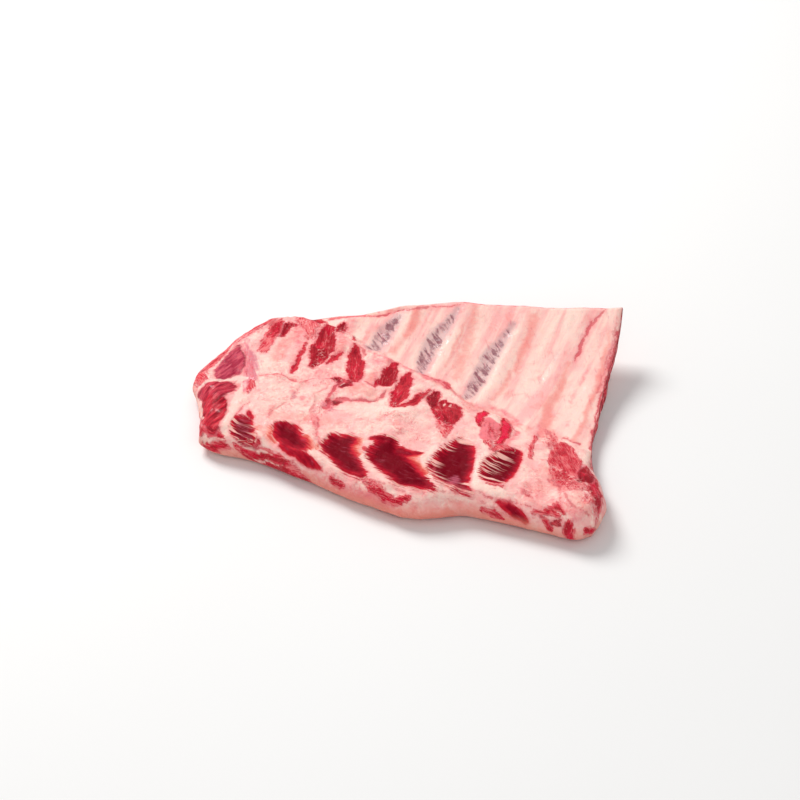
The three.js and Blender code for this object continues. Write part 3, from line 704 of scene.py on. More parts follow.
def rack_points(lattice, rack):
    """Where each lattice point goes, and its place on the skin laid flat."""
    s, t, h = lattice.T
    points = np.zeros((len(s), 3))
    edge = (s < TINY) | (s > 1 - TINY) | (t < TINY) | (t > 1 - TINY)
    top = h > 1 - TINY
    under = h < TINY
    side = edge & ~top & ~under

    skin = plan_point(*top_share(s, t))
    x, y = skin.T.copy()
    points[:, 0], points[:, 1] = x, y
    points[top, 2] = top_height(x[top], y[top], rack)
    points[under, 2] = under_height(y[under], rack)

    angle = (1 - h[side]) * math.pi
    ss, tt = s[side], t[side]
    inner, outer, place, z = side_point(ss, tt, angle, rack)
    points[side, :2] = place
    points[side, 2] = z

    # The length of the curve down the side, added up in short steps, unrolls the skin.
    steps = 24
    length = np.zeros(len(ss))
    last = np.column_stack([inner, top_height(inner[:, 0], inner[:, 1], rack)])
    for step in range(1, steps + 1):
        _, _, here, high = side_point(ss, tt, angle * step / steps, rack)
        here = np.column_stack([here, high])
        length += np.linalg.norm(here - last, axis=1)
        last = here
    outward = outer - inner
    outward /= np.linalg.norm(outward, axis=1)[:, None]
    skin[side] = inner + outward * length[:, None]

    # Fine relief fades out down the side; the side itself gets lumps outwards.
    depth = np.zeros(len(s))
    depth[under] = 1
    depth[side] = smooth(0, 0.5, 1 - h[side])
    points[:, 2] += np.where(under, 0, (1 - depth) * fine_relief(skin[:, 0], skin[:, 1]))
    swell = (0.7 * wrinkles(skin[side, 0], skin[side, 1], 9, 11)
             + 0.3 * wrinkles(skin[side, 0], skin[side, 1], 3.4, 12)
             - 0.25) * np.sin(angle)
    points[side, :2] += outward * swell[:, None]
    return points, skin, h, under, side


def fibre_frame(x, y, angle):
    """Places measured along and across fibres at the given angles."""
    turn = np.radians(angle)
    return x * np.cos(turn) + y * np.sin(turn), -x * np.sin(turn) + y * np.cos(turn)


class Fibres:
    """The direction of the fibres of the muscle nearest to each place."""

    def __init__(self, count):
        self.angle = np.full(count, PLATE_FIBRES)
        self.nearest = np.full(count, NOWHERE)

    def meet(self, away, angle):
        self.angle = np.where(away < self.nearest, angle, self.angle)
        self.nearest = np.minimum(self.nearest, away)


def window_fields(x, y, fibres):
    """How far inside a window each place is, how its edge frays and how far strands reach in."""
    window = np.full(len(x), -OUTSIDE)
    fray = np.ones(len(x))
    reach = np.zeros(len(x))
    for angle, left_fray, right_fray, strand_reach, run in WINDOWS:
        away, left = run_distance(x, y, run)
        here = -away > window
        fray = np.where(here, mix(right_fray, left_fray, smooth(-2, 2, left)), fray)
        reach = np.where(here, strand_reach * smooth(-7, 2, left), reach)
        window = np.where(here, -away, window)
        fibres.meet(away, angle)
    return window, fray, reach


def muscle_fields(x, y, muscles, fibres):
    """How far inside the nearest muscle each place is, and that muscle's own share."""
    inside = np.full(len(x), -OUTSIDE)
    share = np.zeros(len(x))
    for angle, own_share, run in muscles:
        away, _ = run_distance(x, y, run)
        share = np.where(-away > inside, own_share, share)
        inside = np.maximum(inside, -away)
        fibres.meet(away, angle)
    return inside, share


def flesh_field(x, y, fibres):
    """Strength of the marbled red at each place."""
    flesh = np.zeros(len(x))
    for angle, strength, softness, run in FLESH:
        away, _ = run_distance(x, y, run)
        flesh = np.maximum(flesh, strength * smooth(softness, -softness, away))
        fibres.meet(away, angle)
    return flesh


def crack_fields(x, y):
    """Distance to the nearest crack, and its strength."""
    crack = np.full(len(x), OUTSIDE)
    crack_strength = np.zeros(len(x))
    for width, strength, line in CRACKS:
        away = line_distance(x, y, line) - width
        crack_strength = np.where(away < crack, strength, crack_strength)
        crack = np.minimum(crack, away)
    return crack, crack_strength


def sawn_fields(points, skin, depth, side, rack):
    """Share of sawn face, and how far inside a cut rib end each place of the far face is."""
    x, y, z = points.T
    skin_x, skin_y = skin.T
    right_face = side & (skin_x > x - 2) & (x > SAWN_RIGHT[0]) & (y > SAWN_RIGHT[1])
    far_face = side & (skin_y > y - 2) & (x > SAWN_FAR[0]) & (y > SAWN_FAR[1])
    sawn = (right_face | far_face) * smooth(0.10, 0.30, depth) * smooth(0.95, 0.8, depth)
    bone = np.full(len(x), -20.0)
    for far_x, _ in RIBS[:-1]:
        middle_z = under_height(line_at(FAR_EDGE, far_x), rack) + BONE_MIDDLE
        inside = 1 - np.hypot((x - far_x) / BONE_HALF_WIDTH, (z - middle_z) / BONE_HALF_HEIGHT)
        bone = np.where(far_face, np.maximum(bone, inside), bone)
    return sawn, bone


def rack_masks(points, skin, h, under, side, rack):
    """The fields that the material turns into fat, membrane and muscle."""
    skin_x, skin_y = skin.T
    x, y = warp(skin_x, skin_y, TEARS)
    fibres = Fibres(len(x))
    window, fray, reach = window_fields(0.5 * (x + skin_x), 0.5 * (y + skin_y), fibres)
    skirt, dark = muscle_fields(x, y, SKIRT_MUSCLES, fibres)
    flesh = flesh_field(x, y, fibres)
    end, crimson = muscle_fields(x, y, END_MUSCLES, fibres)
    along, across = fibre_frame(*warp(skin_x, skin_y, FIBRE_BENDS), fibres.angle)
    seam_and_highlight = np.full(len(x), OUTSIDE)
    for run in SEAMS_AND_HIGHLIGHTS:
        seam_and_highlight = np.minimum(seam_and_highlight, run_distance(x, y, run)[0])
    past_torn_line = line_at(TORN_LINE, skin_x) - y
    depth = np.where(under, 1, np.where(side, 1 - h, 0))
    sawn, bone = sawn_fields(points, skin, depth, side, rack)
    return {
        "red": (window, skirt, flesh),
        "edge": (fray, dark, end),
        "line": (*crack_fields(x, y), seam_and_highlight),
        "tint": (soft_runs(x, y, BLUSHES), soft_runs(skin_x, skin_y, BRUISES), soft_runs(x, y, BRIGHTS_AND_HIGHLIGHTS)),
        "stain": (soft_runs(x, y, BLOODS), soft_runs(x, y, LACES), soft_runs(x, y, GLOWS)),
        "region": (smooth(1.2, -1.2, past_torn_line), depth, sawn),
        "fibre": (along, across, soft_runs(x, y, FILMS_AND_SHEEN)),
        "skin": (skin_x, skin_y, bone),
        "strand": (reach, crimson),
    }


def build_rack_mesh(rack):
    """The rack's mesh in the frame's place and units, with the fields for its material."""
    bm = block_lattice(rack.cells_x, rack.cells_y, rack.rings)
    bm.verts.ensure_lookup_table()
    lattice = np.array([v.co[:] for v in bm.verts])
    points, skin, h, under, side = rack_points(lattice, rack)
    masks = rack_masks(points, skin, h, under, side, rack)
    points[:, :2] -= BOX_MIDDLE
    for vert, place in zip(bm.verts, points * MM):
        vert.co = Vector(place)
    bm.normal_update()
    bmesh.ops.recalc_face_normals(bm, faces=bm.faces)
    return bm, masks


def store_masks(mesh, masks):
    """Stores up to three fields in each attribute, with nought for a missing one."""
    for name, parts in masks.items():
        vectors = np.zeros((len(mesh.vertices), 3), np.float32)
        vectors[:, :len(parts)] = np.column_stack(parts)
        layer = mesh.attributes.new(name, "FLOAT_VECTOR", "POINT")
        layer.data.foreach_set("vector", vectors.ravel())


# Materials


class Graph:
    """Short words for adding nodes to a node tree."""

    def __init__(self, tree):
        self.tree = tree
        self.nodes = tree.nodes
        self.links = tree.links

    def put(self, socket, value):
        """Links a socket or sets a number or colour; None leaves the socket as it is."""
        if isinstance(value, bpy.types.NodeSocket):
            self.links.new(value, socket)
        elif value is not None:
            socket.default_value = value

    def node(self, kind, **settings):
        made = self.nodes.new(kind)
        for name, value in settings.items():
            setattr(made, name, value)
        return made

    def math(self, operation, a, b=None):
        made = self.node("ShaderNodeMath", operation=operation)
        for socket, value in zip(made.inputs, (a, b)):
            self.put(socket, value)
        return made.outputs[0]

    def times(self, a, b):
        return self.math("MULTIPLY", a, b)

    def add(self, *parts):
        return functools.reduce(lambda a, b: self.math("ADD", a, b), parts)

    def most(self, *parts):
        """The greatest of the parts."""
        return functools.reduce(lambda a, b: self.math("MAXIMUM", a, b), parts)

    def step(self, value, low, high, to_low=0.0, to_high=1.0):
        """A smooth step from to_low to to_high as the value goes from low to high."""
        made = self.node("ShaderNodeMapRange", interpolation_type="SMOOTHSTEP", clamp=True)
        for socket, part in zip(made.inputs, (value, low, high, to_low, to_high)):
            self.put(socket, part)
        return made.outputs[0]

    def blend(self, share, a, b):
        """Colour a turning into colour b."""
        made = self.node("ShaderNodeMix", data_type="RGBA", clamp_factor=True)
        factor, first, second = (made.inputs[k] for k in (0, 6, 7))
        self.put(factor, share)
        self.put(first, a)
        self.put(second, b)
        return made.outputs[2]

    def attribute(self, name):
        """The three numbers of a stored field."""
        read = self.node("ShaderNodeAttribute", attribute_name=name)
        split = self.node("ShaderNodeSeparateXYZ")
        self.links.new(read.outputs["Vector"], split.inputs[0])
        return split.outputs[:]

    def vector(self, x, y, z=0.0):
        made = self.node("ShaderNodeCombineXYZ")
        for socket, value in zip(made.inputs, (x, y, z)):
            self.put(socket, value)
        return made.outputs[0]

    def turned(self, x, y, angle):
        """The two numbers of a place along and across a direction."""
        turn = math.radians(angle)
        parts = []
        for a, b in ((math.cos(turn), math.sin(turn)), (-math.sin(turn), math.cos(turn))):
            parts.append(self.add(self.times(x, a), self.times(y, b)))
        return parts

    def noise(self, where, scale, detail=4.0, roughness=0.55, distortion=0.0):
        made = self.node("ShaderNodeTexNoise")
        self.put(made.inputs["Vector"], where)
        self.put(made.inputs["Scale"], scale)
        self.put(made.inputs["Detail"], detail)
        self.put(made.inputs["Roughness"], roughness)
        self.put(made.inputs["Distortion"], distortion)
        return made.outputs["Fac"]


def shared_group(name, build):
    """The node group of that name, built the first time that it is asked for."""
    return bpy.data.node_groups.get(name) or build(name)


def start_group(name, numbers, result, place=None):
    """A new node group: its graph, its inputs by name and the socket of its one result."""
    tree = bpy.data.node_groups.new(name, "ShaderNodeTree")
    if place:
        tree.interface.new_socket(place, in_out="INPUT", socket_type="NodeSocketVector")
    for label, default in numbers.items():
        socket = tree.interface.new_socket(label, in_out="INPUT", socket_type="NodeSocketFloat")
        socket.default_value = default
    tree.interface.new_socket(result, in_out="OUTPUT", socket_type="NodeSocketFloat")
    graph = Graph(tree)
    given = graph.node("NodeGroupInput")
    return graph, given.outputs, graph.node("NodeGroupOutput").inputs[0]


def strands_group(name):
    """Muscle fibres: thin strands along one direction, broken up along their length."""
    numbers = {"Along": 0.0, "Across": 0.0, "Strands per mm": 0.8, "Stretch": 10.0}
    graph, given, result = start_group(name, numbers, "Strand")
    where = graph.vector(graph.math("DIVIDE", given["Along"], given["Stretch"]), given["Across"])
    graph.links.new(graph.noise(where, given["Strands per mm"], 3.0, 0.6, 0.35), result)
    return graph.tree


def veins_group(name):
    """Thin wandering lines, 1 on a line and 0 away from it."""
    graph, given, result = start_group(name, {"Scale": 0.1, "Width": 0.02}, "Vein", place="Place")
    value = graph.noise(given["Place"], given["Scale"], 5.0, 0.6, 0.8)
    away = graph.math("ABSOLUTE", graph.math("SUBTRACT", value, 0.5))
    graph.links.new(graph.step(away, 0.0, given["Width"], 1.0, 0.0), result)
    return graph.tree


def hairs_group(name):
    """Pale hairs along one direction: 1 on a hair and 0 between. Width goes from 0 to 1."""
    numbers = {"Along": 0.0, "Across": 0.0, "Hairs per mm": 0.5, "Stretch": 14.0, "Width": 0.5}
    graph, given, result = start_group(name, numbers, "Hair")
    along = graph.math("DIVIDE", given["Along"], given["Stretch"])
    where = graph.vector(along, given["Across"], 7.3)
    value = graph.noise(where, given["Hairs per mm"], 1.5, 0.5, 0.15)
    value = graph.add(value, graph.times(given["Width"], 0.10))
    graph.links.new(graph.step(value, 0.585, 0.635), result)
    return graph.tree


class MeatGraph(Graph):
    """The meat's nodes: stored fields, noises and strands, and the layers of colour made from them."""

    def __init__(self, tree, looks):
        super().__init__(tree)
        self.looks = looks
        self.window, self.skirt, self.flesh = self.attribute("red")
        self.fray, self.dark, self.end = self.attribute("edge")
        self.crack, self.crack_strength, self.seam_and_highlight = self.attribute("line")
        self.blush, self.bruise, self.bright = self.attribute("tint")
        self.blood, self.lace, self.glow = self.attribute("stain")
        self.membrane, self.depth, self.sawn = self.attribute("region")
        # The film field carries the mauve film and the painted sheen on the dark muscle.
        self.along, self.across, self.film = self.attribute("fibre")
        self.skin_x, self.skin_y, self.bone = self.attribute("skin")
        self.reach, self.crimson, _ = self.attribute("strand")
        self.place = self.vector(self.skin_x, self.skin_y)

        coordinates = self.node("ShaderNodeTexCoord")
        millimetres = self.node("ShaderNodeVectorMath", operation="SCALE")
        self.links.new(coordinates.outputs["Object"], millimetres.inputs[0])
        millimetres.inputs["Scale"].default_value = 1 / MM
        body = millimetres.outputs[0]
        self.broad = self.noise(body, 0.055, 4.0, 0.55, 0.4)
        self.patchy = self.noise(body, 0.17, 5.0, 0.6, 0.6)
        self.fine = self.noise(body, 0.75, 5.0, 0.62, 0.2)
        self.mottle = self.noise(body, 0.38, 2.5, 0.5, 0.9)
        self.grainy = self.noise(body, 2.6, 3.0, 0.6)

        self.bundle = self.strand(self.along, self.across, 0.3, 4.0)
        self.coarse_strand = self.strand(self.along, self.across, 0.75, 6.0)
        self.thin_strand = self.strand(self.along, self.across, 1.8, 8.0)
        self.fray_strand = self.strand(self.along, self.across, 1.25, 18.0)
        self.tone = self.add(self.times(self.coarse_strand, 0.5), self.times(self.bundle, 0.5))
        self.streak = self.vary(self.thin_strand, bundle=0.9)

    def group(self, tree, **values):
        """The result of a node group, given its inputs by name."""
        made = self.node("ShaderNodeGroup", node_tree=tree)
        for label, value in values.items():
            self.put(made.inputs[label.replace("_", " ")], value)
        return made.outputs[0]

    def strand(self, along, across, per_mm, stretch):
        """Muscle strands: how many to the millimetre, and how much longer than wide."""
        return self.group(shared_group("muscle_strands", strands_group), Along=along, Across=across,
                          Strands_per_mm=per_mm, Stretch=stretch)

    def centred(self, noise, amount):
        """A noise with its middle moved to nought, times the amount."""
        return self.times(self.math("SUBTRACT", noise, 0.5), amount)

    def vary(self, value, **noises):
        """The value moved up and down by noises of this graph, each by so much."""
        for name, amount in noises.items():
            value = self.add(value, self.centred(getattr(self, name), amount))
        return value

    def lay(self, under, over, value, low, high, share=1.0):
        """One colour laid over another, up to the given share, as the value goes from low to high."""
        return self.blend(self.step(value, low, high, 0.0, share), under, over)

    def fat_and_membrane(self):
        """Cream and pink fat, and paler membrane over the ribs, with painted highlights on the bright
        strips.
        """
        looks = self.looks
        lean_x, lean_y = self.turned(self.skin_x, self.skin_y, -38)
        fat_streak = self.strand(lean_x, lean_y, 0.2, 3.5)
        streaked = self.add(self.patchy, self.centred(fat_streak, 0.7))
        stained = self.add(self.mottle, self.centred(fat_streak, 0.6))
        fat = self.lay(looks.fat_cream_and_highlight, looks.fat_pink, self.vary(self.broad, mottle=0.35), 0.38, 0.62)
        fat = self.lay(fat, looks.salmon, streaked, 0.52, 0.80, 0.55)
        fat = self.lay(fat, looks.blood, stained, 0.58, 0.86, 0.45)
        fat = self.lay(fat, looks.bright_fat_and_highlight, self.vary(self.mottle, broad=0.5), 0.44, 0.26, 0.5)
        self.fat = fat

        rib_x = self.add(self.skin_x, self.times(self.skin_y, -0.14))
        rib_streak = self.strand(self.skin_y, rib_x, 0.14, 6.0)
        sheet = self.lay(looks.membrane, looks.fat_pink, self.vary(rib_streak, broad=0.5), 0.42, 0.66)
        over_ribs = self.add(self.patchy, self.centred(rib_streak, 0.8))
        sheet = self.lay(sheet, looks.salmon, over_ribs, 0.54, 0.84, 0.6)
        sheet = self.lay(sheet, looks.bright_fat_and_highlight, rib_streak, 0.46, 0.28, 0.8)
        colour = self.blend(self.membrane, fat, sheet)

        tint = self.vary(self.blush, patchy=0.8, mottle=0.3)
        colour = self.lay(colour, looks.salmon, tint, 0.12, 1.0, 0.9)
        # Bright strips, partly painted highlight along the rib ridges and on the torn lump.
        pale = self.vary(self.bright, mottle=0.5, patchy=0.4)
        colour = self.lay(colour, looks.bright_fat_and_highlight, pale, 0.15, 1.05, 0.6)
        bloody = self.vary(self.blood, patchy=0.9, mottle=0.6)
        return self.lay(colour, looks.blood, bloody, 0.18, 1.05, 0.9)

    def bruises(self, colour):
        """Grey-violet muscle seen through the membrane, in slanting dashes."""
        looks = self.looks
        slant_x, slant_y = self.turned(self.skin_x, self.skin_y, 44)
        dashes = self.strand(slant_y, slant_x, 0.42, 4.0)
        shade = self.vary(self.add(self.bruise, self.centred(dashes, 2.6)), patchy=1.0)
        colour = self.lay(colour, looks.violet_film, self.vary(self.bruise, patchy=0.8), 0.05, 0.95, 0.72)
        deep_share = self.times(self.step(shade, 0.72, 1.35, 0.0, 0.92), self.step(self.bruise, 0.35, 0.8))
        return self.blend(deep_share, colour, looks.violet_deep)

    def fat_veins(self, colour):
        """Nets of fine veins in the fat."""
        veins = shared_group("fine_veins", veins_group)
        vein = self.group(veins, Place=self.place, Scale=0.16, Width=0.02)
        small_vein = self.group(veins, Place=self.place, Scale=0.42, Width=0.032)
        lines = self.most(self.times(vein, 0.9), self.times(small_vein, 0.6))
        share = self.times(self.step(self.vary(self.lace, patchy=1.6), 0.2, 1.0), lines)
        share = self.times(share, self.step(self.fine, 0.36, 0.56))
        return self.blend(share, colour, self.looks.vein)

    def film_sheen_and_marbling(self, colour):
        """Mauve film over deeper meat, partly painted sheen, and marbled red."""
        looks = self.looks
        self.film_and_sheen_share = self.step(self.vary(self.film, patchy=1.0, coarse_strand=2.2), 0.1, 1.1, 0.0, 0.8)
        colour = self.blend(self.film_and_sheen_share, colour, looks.mauve_and_sheen)
        marbled = self.vary(self.flesh, coarse_strand=1.1, fine=1.1, patchy=0.3)
        marbling = self.vary(self.thin_strand, bundle=0.7)
        red_flesh = self.lay(looks.flesh, looks.flesh_pale, marbling, 0.40, 0.60)
        deep_tone = self.vary(self.bundle, thin_strand=0.5)
        deep_flesh = self.lay(looks.skirt_bright, looks.crimson, deep_tone, 0.44, 0.56)
        deep_marbling = self.vary(self.thin_strand, bundle=0.8)
        deep_flesh = self.lay(deep_flesh, looks.flesh_pale, deep_marbling, 0.56, 0.72, 0.7)
        red_flesh = self.lay(red_flesh, deep_flesh, self.vary(self.flesh, patchy=0.4), 0.80, 1.10)
        red_flesh = self.lay(red_flesh, looks.jelly, self.flesh, 1.26, 1.40, 0.8)
        near_flesh = self.step(self.flesh, 0.0, 0.2)
        stain_share = self.times(self.step(marbled, 0.05, 0.45, 0.0, 0.6), near_flesh)
        colour = self.blend(stain_share, colour, looks.blood)
        self.flesh_share = self.times(self.step(marbled, 0.28, 0.60), near_flesh)
        colour = self.blend(self.flesh_share, colour, red_flesh)
        speck = self.times(self.step(self.grainy, 0.60, 0.70), self.step(self.flesh, 0.2, 0.5, 0.0, 0.4))
        return self.blend(speck, colour, looks.bright_fat_and_highlight)

    def end_muscle(self, colour):
        """Muscle cut across at the left end."""
        looks = self.looks
        end_edge = self.vary(self.end, coarse_strand=2.4, fine=1.8)
        self.end_share = self.step(end_edge, -0.6, 0.8)
        mauve_red = self.lay(looks.end_dark, looks.end_light, self.tone, 0.38, 0.60)
        crimson_red = self.lay(looks.skirt_dark, looks.flesh, self.tone, 0.38, 0.58)
        end_red = self.blend(self.crimson, mauve_red, crimson_red)
        end_red = self.lay(end_red, looks.flesh_pale, self.streak, 0.56, 0.74, 0.6)
        colour = self.lay(colour, looks.blood, end_edge, -2.6, 0.0, 0.6)
        return self.blend(self.end_share, colour, end_red)

    def skirt_muscle(self, colour):
        """Cut ends of the skirt muscle."""
        looks = self.looks
        skirt_edge = self.vary(self.skirt, coarse_strand=2.2, fine=2.6)
        self.skirt_share = self.step(skirt_edge, -0.3, 0.5)
        skirt_red = self.lay(looks.skirt_light, looks.skirt_bright, self.dark, 0.15, 0.6)
        skirt_red = self.lay(skirt_red, looks.skirt_dark, self.dark, 0.6, 1.2)
        skirt_red = self.lay(skirt_red, looks.skirt_dark, self.tone, 0.50, 0.38, 0.7)
        skirt_red = self.lay(skirt_red, looks.crimson, self.vary(self.patchy, tone=0.8), 0.52, 0.66, 0.7)
        skirt_red = self.lay(skirt_red, looks.flesh_pale, self.streak, 0.56, 0.72, 0.55)
        skirt_red = self.lay(skirt_red, looks.fat_pink, self.grainy, 0.64, 0.74, 0.3)
        skirt_red = self.lay(skirt_red, looks.flesh, self.vary(self.skirt, fine=3.0), 1.6, 0.0, 0.6)
        colour = self.lay(colour, looks.blood, skirt_edge, -1.6, -0.2, 0.6)
        return self.blend(self.skirt_share, colour, skirt_red)

    def windows(self, colour):
        """Dark muscle between the cartilages, fading out or frayed."""
        looks = self.looks
        frayed = self.times(self.fray, self.centred(self.fray_strand, 3.2))
        window_edge = self.vary(self.add(self.window, frayed), fine=1.2, patchy=1.2)
        colour = self.lay(colour, looks.blood, window_edge, -1.6, -0.1, 0.6)
        out = self.times(self.glow, -4.6)
        halo = self.step(window_edge, self.add(out, -0.6), -0.2, 0.0, 0.9)
        colour = self.blend(self.times(halo, self.step(self.glow, 0.0, 0.5)), colour, looks.halo)
        bright_from = self.add(self.times(out, 0.5), -0.5)
        self.window_share = self.step(window_edge, bright_from, self.add(self.times(self.glow, 0.8), 0.5))
        colour = self.blend(self.window_share, colour, looks.window_bright)
        deeper = self.vary(window_edge, thin_strand=1.6, bundle=6.0)
        middle_from = self.times(self.glow, 0.6)
        middle_to = self.add(self.times(self.glow, 2.0), 2.0)
        colour = self.lay(colour, looks.window_middle, deeper, middle_from, middle_to)
        return self.lay(colour, looks.window_dark, deeper, 1.4, 4.6)

    def pale_strands_and_sheen(self, colour):
        """Pale strands that reach into the windows, and painted mauve sheen over a window's edge."""
        width = self.step(self.window, self.reach, 0.0, 0.15, 0.62)
        hair = self.group(shared_group("pale_hairs", hairs_group), Along=self.along, Across=self.across,
                          Hairs_per_mm=0.64, Stretch=18.0, Width=width)
        reached = self.step(self.vary(self.window, fray_strand=6.0), self.reach, 0.0)
        share = self.times(hair, self.times(reached, self.step(self.reach, 0.0, 1.0)))
        share = self.times(share, self.step(self.window, -1.0, 0.0, 0.0, 0.92))
        colour = self.blend(share, colour, self.looks.hair)
        # Painted sheen: the film's mauve laid again over the dark muscle.
        film_and_sheen_share = self.times(self.film_and_sheen_share, self.times(self.window_share, 0.8))
        return self.blend(film_and_sheen_share, colour, self.looks.mauve_and_sheen)

    def net_seams_and_highlights(self, colour):
        """Pale net of fat in the red parts, and pale seams over them, some of them painted highlights."""
        bent = self.node("ShaderNodeVectorMath", operation="MULTIPLY_ADD")
        self.links.new(self.vector(self.fine, self.mottle), bent.inputs[0])
        bent.inputs[1].default_value = (2.6, 3.4, 0.0)
        self.links.new(self.place, bent.inputs[2])
        cells = self.node("ShaderNodeTexVoronoi", feature="DISTANCE_TO_EDGE")
        self.links.new(bent.outputs[0], cells.inputs["Vector"])
        cells.inputs["Scale"].default_value = 0.42
        threads = self.step(self.vary(cells.outputs["Distance"], patchy=0.5, fine=0.2), 0.08, 0.0)
        net = self.times(threads, self.step(self.lace, 0.3, 0.9, 0.0, 0.7))
        net = self.times(net, self.most(self.flesh_share, self.skirt_share))
        colour = self.blend(net, colour, self.looks.fat_pink)
        # Pale seams, and painted highlights drawn as seams, in the cream of the fat.
        seam_and_highlight_share = self.step(self.vary(self.seam_and_highlight, fine=1.2), 0.5, -0.3, 0.0, 0.9)
        return self.blend(seam_and_highlight_share, colour, self.looks.fat_cream_and_highlight)

    def cracks(self, colour):
        """Cracks and cut lines."""
        looks = self.looks
        crack_edge = self.vary(self.crack, fine=1.8, patchy=2.6)
        self.crack_share = self.times(self.step(crack_edge, 0.40, -0.2), self.crack_strength)
        colour = self.blend(self.crack_share, colour, looks.crack)
        crack_glow = self.times(self.step(crack_edge, 1.5, 0.0, 0.0, 0.5), self.crack_strength)
        return self.blend(crack_glow, colour, looks.blood)

    def sawn_faces(self, colour):
        """Sawn faces, layered red and cream, with the cut rib ends."""
        looks = self.looks
        down_the_face = self.vector(self.skin_x, self.skin_y, self.times(self.depth, 26.0))
        layer = self.noise(down_the_face, 0.22, 4.0, 0.6)
        face = self.lay(looks.skirt_dark, looks.flesh, layer, 0.40, 0.60)
        face = self.lay(face, looks.flesh_pale, self.vary(layer, mottle=0.8), 0.50, 0.64, 0.8)
        rind = self.math("ABSOLUTE", self.math("SUBTRACT", self.vary(self.depth, patchy=0.3), 0.5))
        face = self.lay(face, looks.salmon, rind, 0.22, 0.36, 0.9)
        colour = self.blend(self.sawn, colour, face)
        bone_edge = self.vary(self.bone, patchy=0.6, mottle=0.3)
        colour = self.lay(colour, looks.blood, bone_edge, -0.35, -0.05, 0.7)
        colour = self.lay(colour, looks.bone, bone_edge, -0.10, 0.10, 0.85)
        marrow = self.lay(looks.marrow, looks.salmon, self.grainy, 0.4, 0.6)
        return self.lay(colour, marrow, bone_edge, 0.22, 0.60, 0.8)

    def painted_contact_shade(self, colour):
        """Painted contact shade: darker where the side curls under, towards the ground."""
        painted_contact_shade = self.step(self.vary(self.depth, patchy=0.10), 0.36, 0.56, 0.0, 0.6)
        bare = self.math("SUBTRACT", 1.0, self.most(self.sawn, self.flesh_share, self.end_share))
        return self.blend(self.times(painted_contact_shade, bare), colour, self.looks.painted_contact_shade)

    def underside(self, colour):
        """The underside: fat cover with muscle showing between."""
        looks = self.looks
        under_red = self.lay(looks.flesh, looks.end_light, self.fine, 0.4, 0.65)
        long_strand = self.strand(self.skin_y, self.skin_x, 0.10, 5.0)
        open_meat = self.add(self.times(self.patchy, 0.25), self.times(long_strand, 0.6),
                             self.times(self.broad, 0.7), self.times(self.mottle, 0.1))
        below = self.lay(self.fat, looks.salmon, open_meat, 0.76, 0.92, 0.85)
        below = self.lay(below, under_red, open_meat, 0.86, 0.98, 0.85)
        return self.lay(colour, below, self.depth, 0.62, 0.95)

    def finish(self, shader):
        """Roughness, the wet coat and the bumps of the surface."""
        red_parts = self.most(self.window_share, self.skirt_share, self.end_share)
        red_parts = self.times(red_parts, self.step(self.depth, 0.9, 0.6))
        rough = self.vary(self.step(red_parts, 0.0, 1.0, 0.50, 0.38), fine=0.25)
        self.links.new(rough, shader.inputs["Roughness"])
        wet = self.times(self.step(self.mottle, 0.48, 0.66), self.step(self.patchy, 0.42, 0.58))
        coat = self.times(self.add(self.times(wet, 0.5), 0.06), self.step(self.window_share, 1.0, 0.0))
        self.links.new(coat, shader.inputs["Coat Weight"])

        red_ridge = self.add(self.times(red_parts, 0.8), self.times(self.flesh_share, 0.6),
                             self.times(self.window_share, -0.5))
        ridges = self.times(self.add(self.coarse_strand, self.times(self.thin_strand, 0.7)), red_ridge)
        skin_bumps = self.add(self.times(self.fine, 0.28), self.times(self.grainy, 0.04),
                              self.times(self.mottle, 1.0), self.times(self.patchy, 1.2))
        calm = self.step(self.add(self.membrane, self.window_share), 0.0, 1.0, 1.0, 0.45)
        skin_bumps = self.times(skin_bumps, calm)
        height = self.add(ridges, skin_bumps, self.times(self.crack_share, -0.2),
                          self.times(self.window_share, -0.1))
        bump = self.node("ShaderNodeBump")
        bump.inputs["Strength"].default_value = 0.7
        bump.inputs["Distance"].default_value = 0.0008
        self.links.new(height, bump.inputs["Height"])
        self.links.new(bump.outputs[0], shader.inputs["Normal"])


def meat_material(looks):
    """Raw meat: fat, membrane, muscle, cracks and the sawn faces, with painted contact shade, highlights
    and sheen, from the stored fields.
    """
    material = bpy.data.materials.new("raw_ribs")
    material.use_nodes = True
    material.node_tree.nodes.clear()
    meat = MeatGraph(material.node_tree, looks)
    colour = meat.fat_and_membrane()
    for layer in (meat.bruises, meat.fat_veins, meat.film_sheen_and_marbling, meat.end_muscle,
                  meat.skirt_muscle, meat.windows, meat.pale_strands_and_sheen, meat.net_seams_and_highlights, meat.cracks,
                  meat.sawn_faces, meat.painted_contact_shade, meat.underside):
        colour = layer(colour)

    output = meat.node("ShaderNodeOutputMaterial")
    shader = meat.node("ShaderNodeBsdfPrincipled")
    meat.links.new(shader.outputs[0], output.inputs[0])
    meat.links.new(colour, shader.inputs["Base Color"])
    meat.finish(shader)
    shader.inputs["Coat Roughness"].default_value = 0.14
    shader.inputs["Coat IOR"].default_value = 1.36
    shader.inputs["IOR"].default_value = 1.40
    shader.inputs["Specular IOR Level"].default_value = 0.03
    shader.inputs["Subsurface Weight"].default_value = looks.softness
    shader.inputs["Subsurface Radius"].default_value = (1.0, 0.35, 0.25)
    shader.inputs["Subsurface Scale"].default_value = 0.0018
    return material


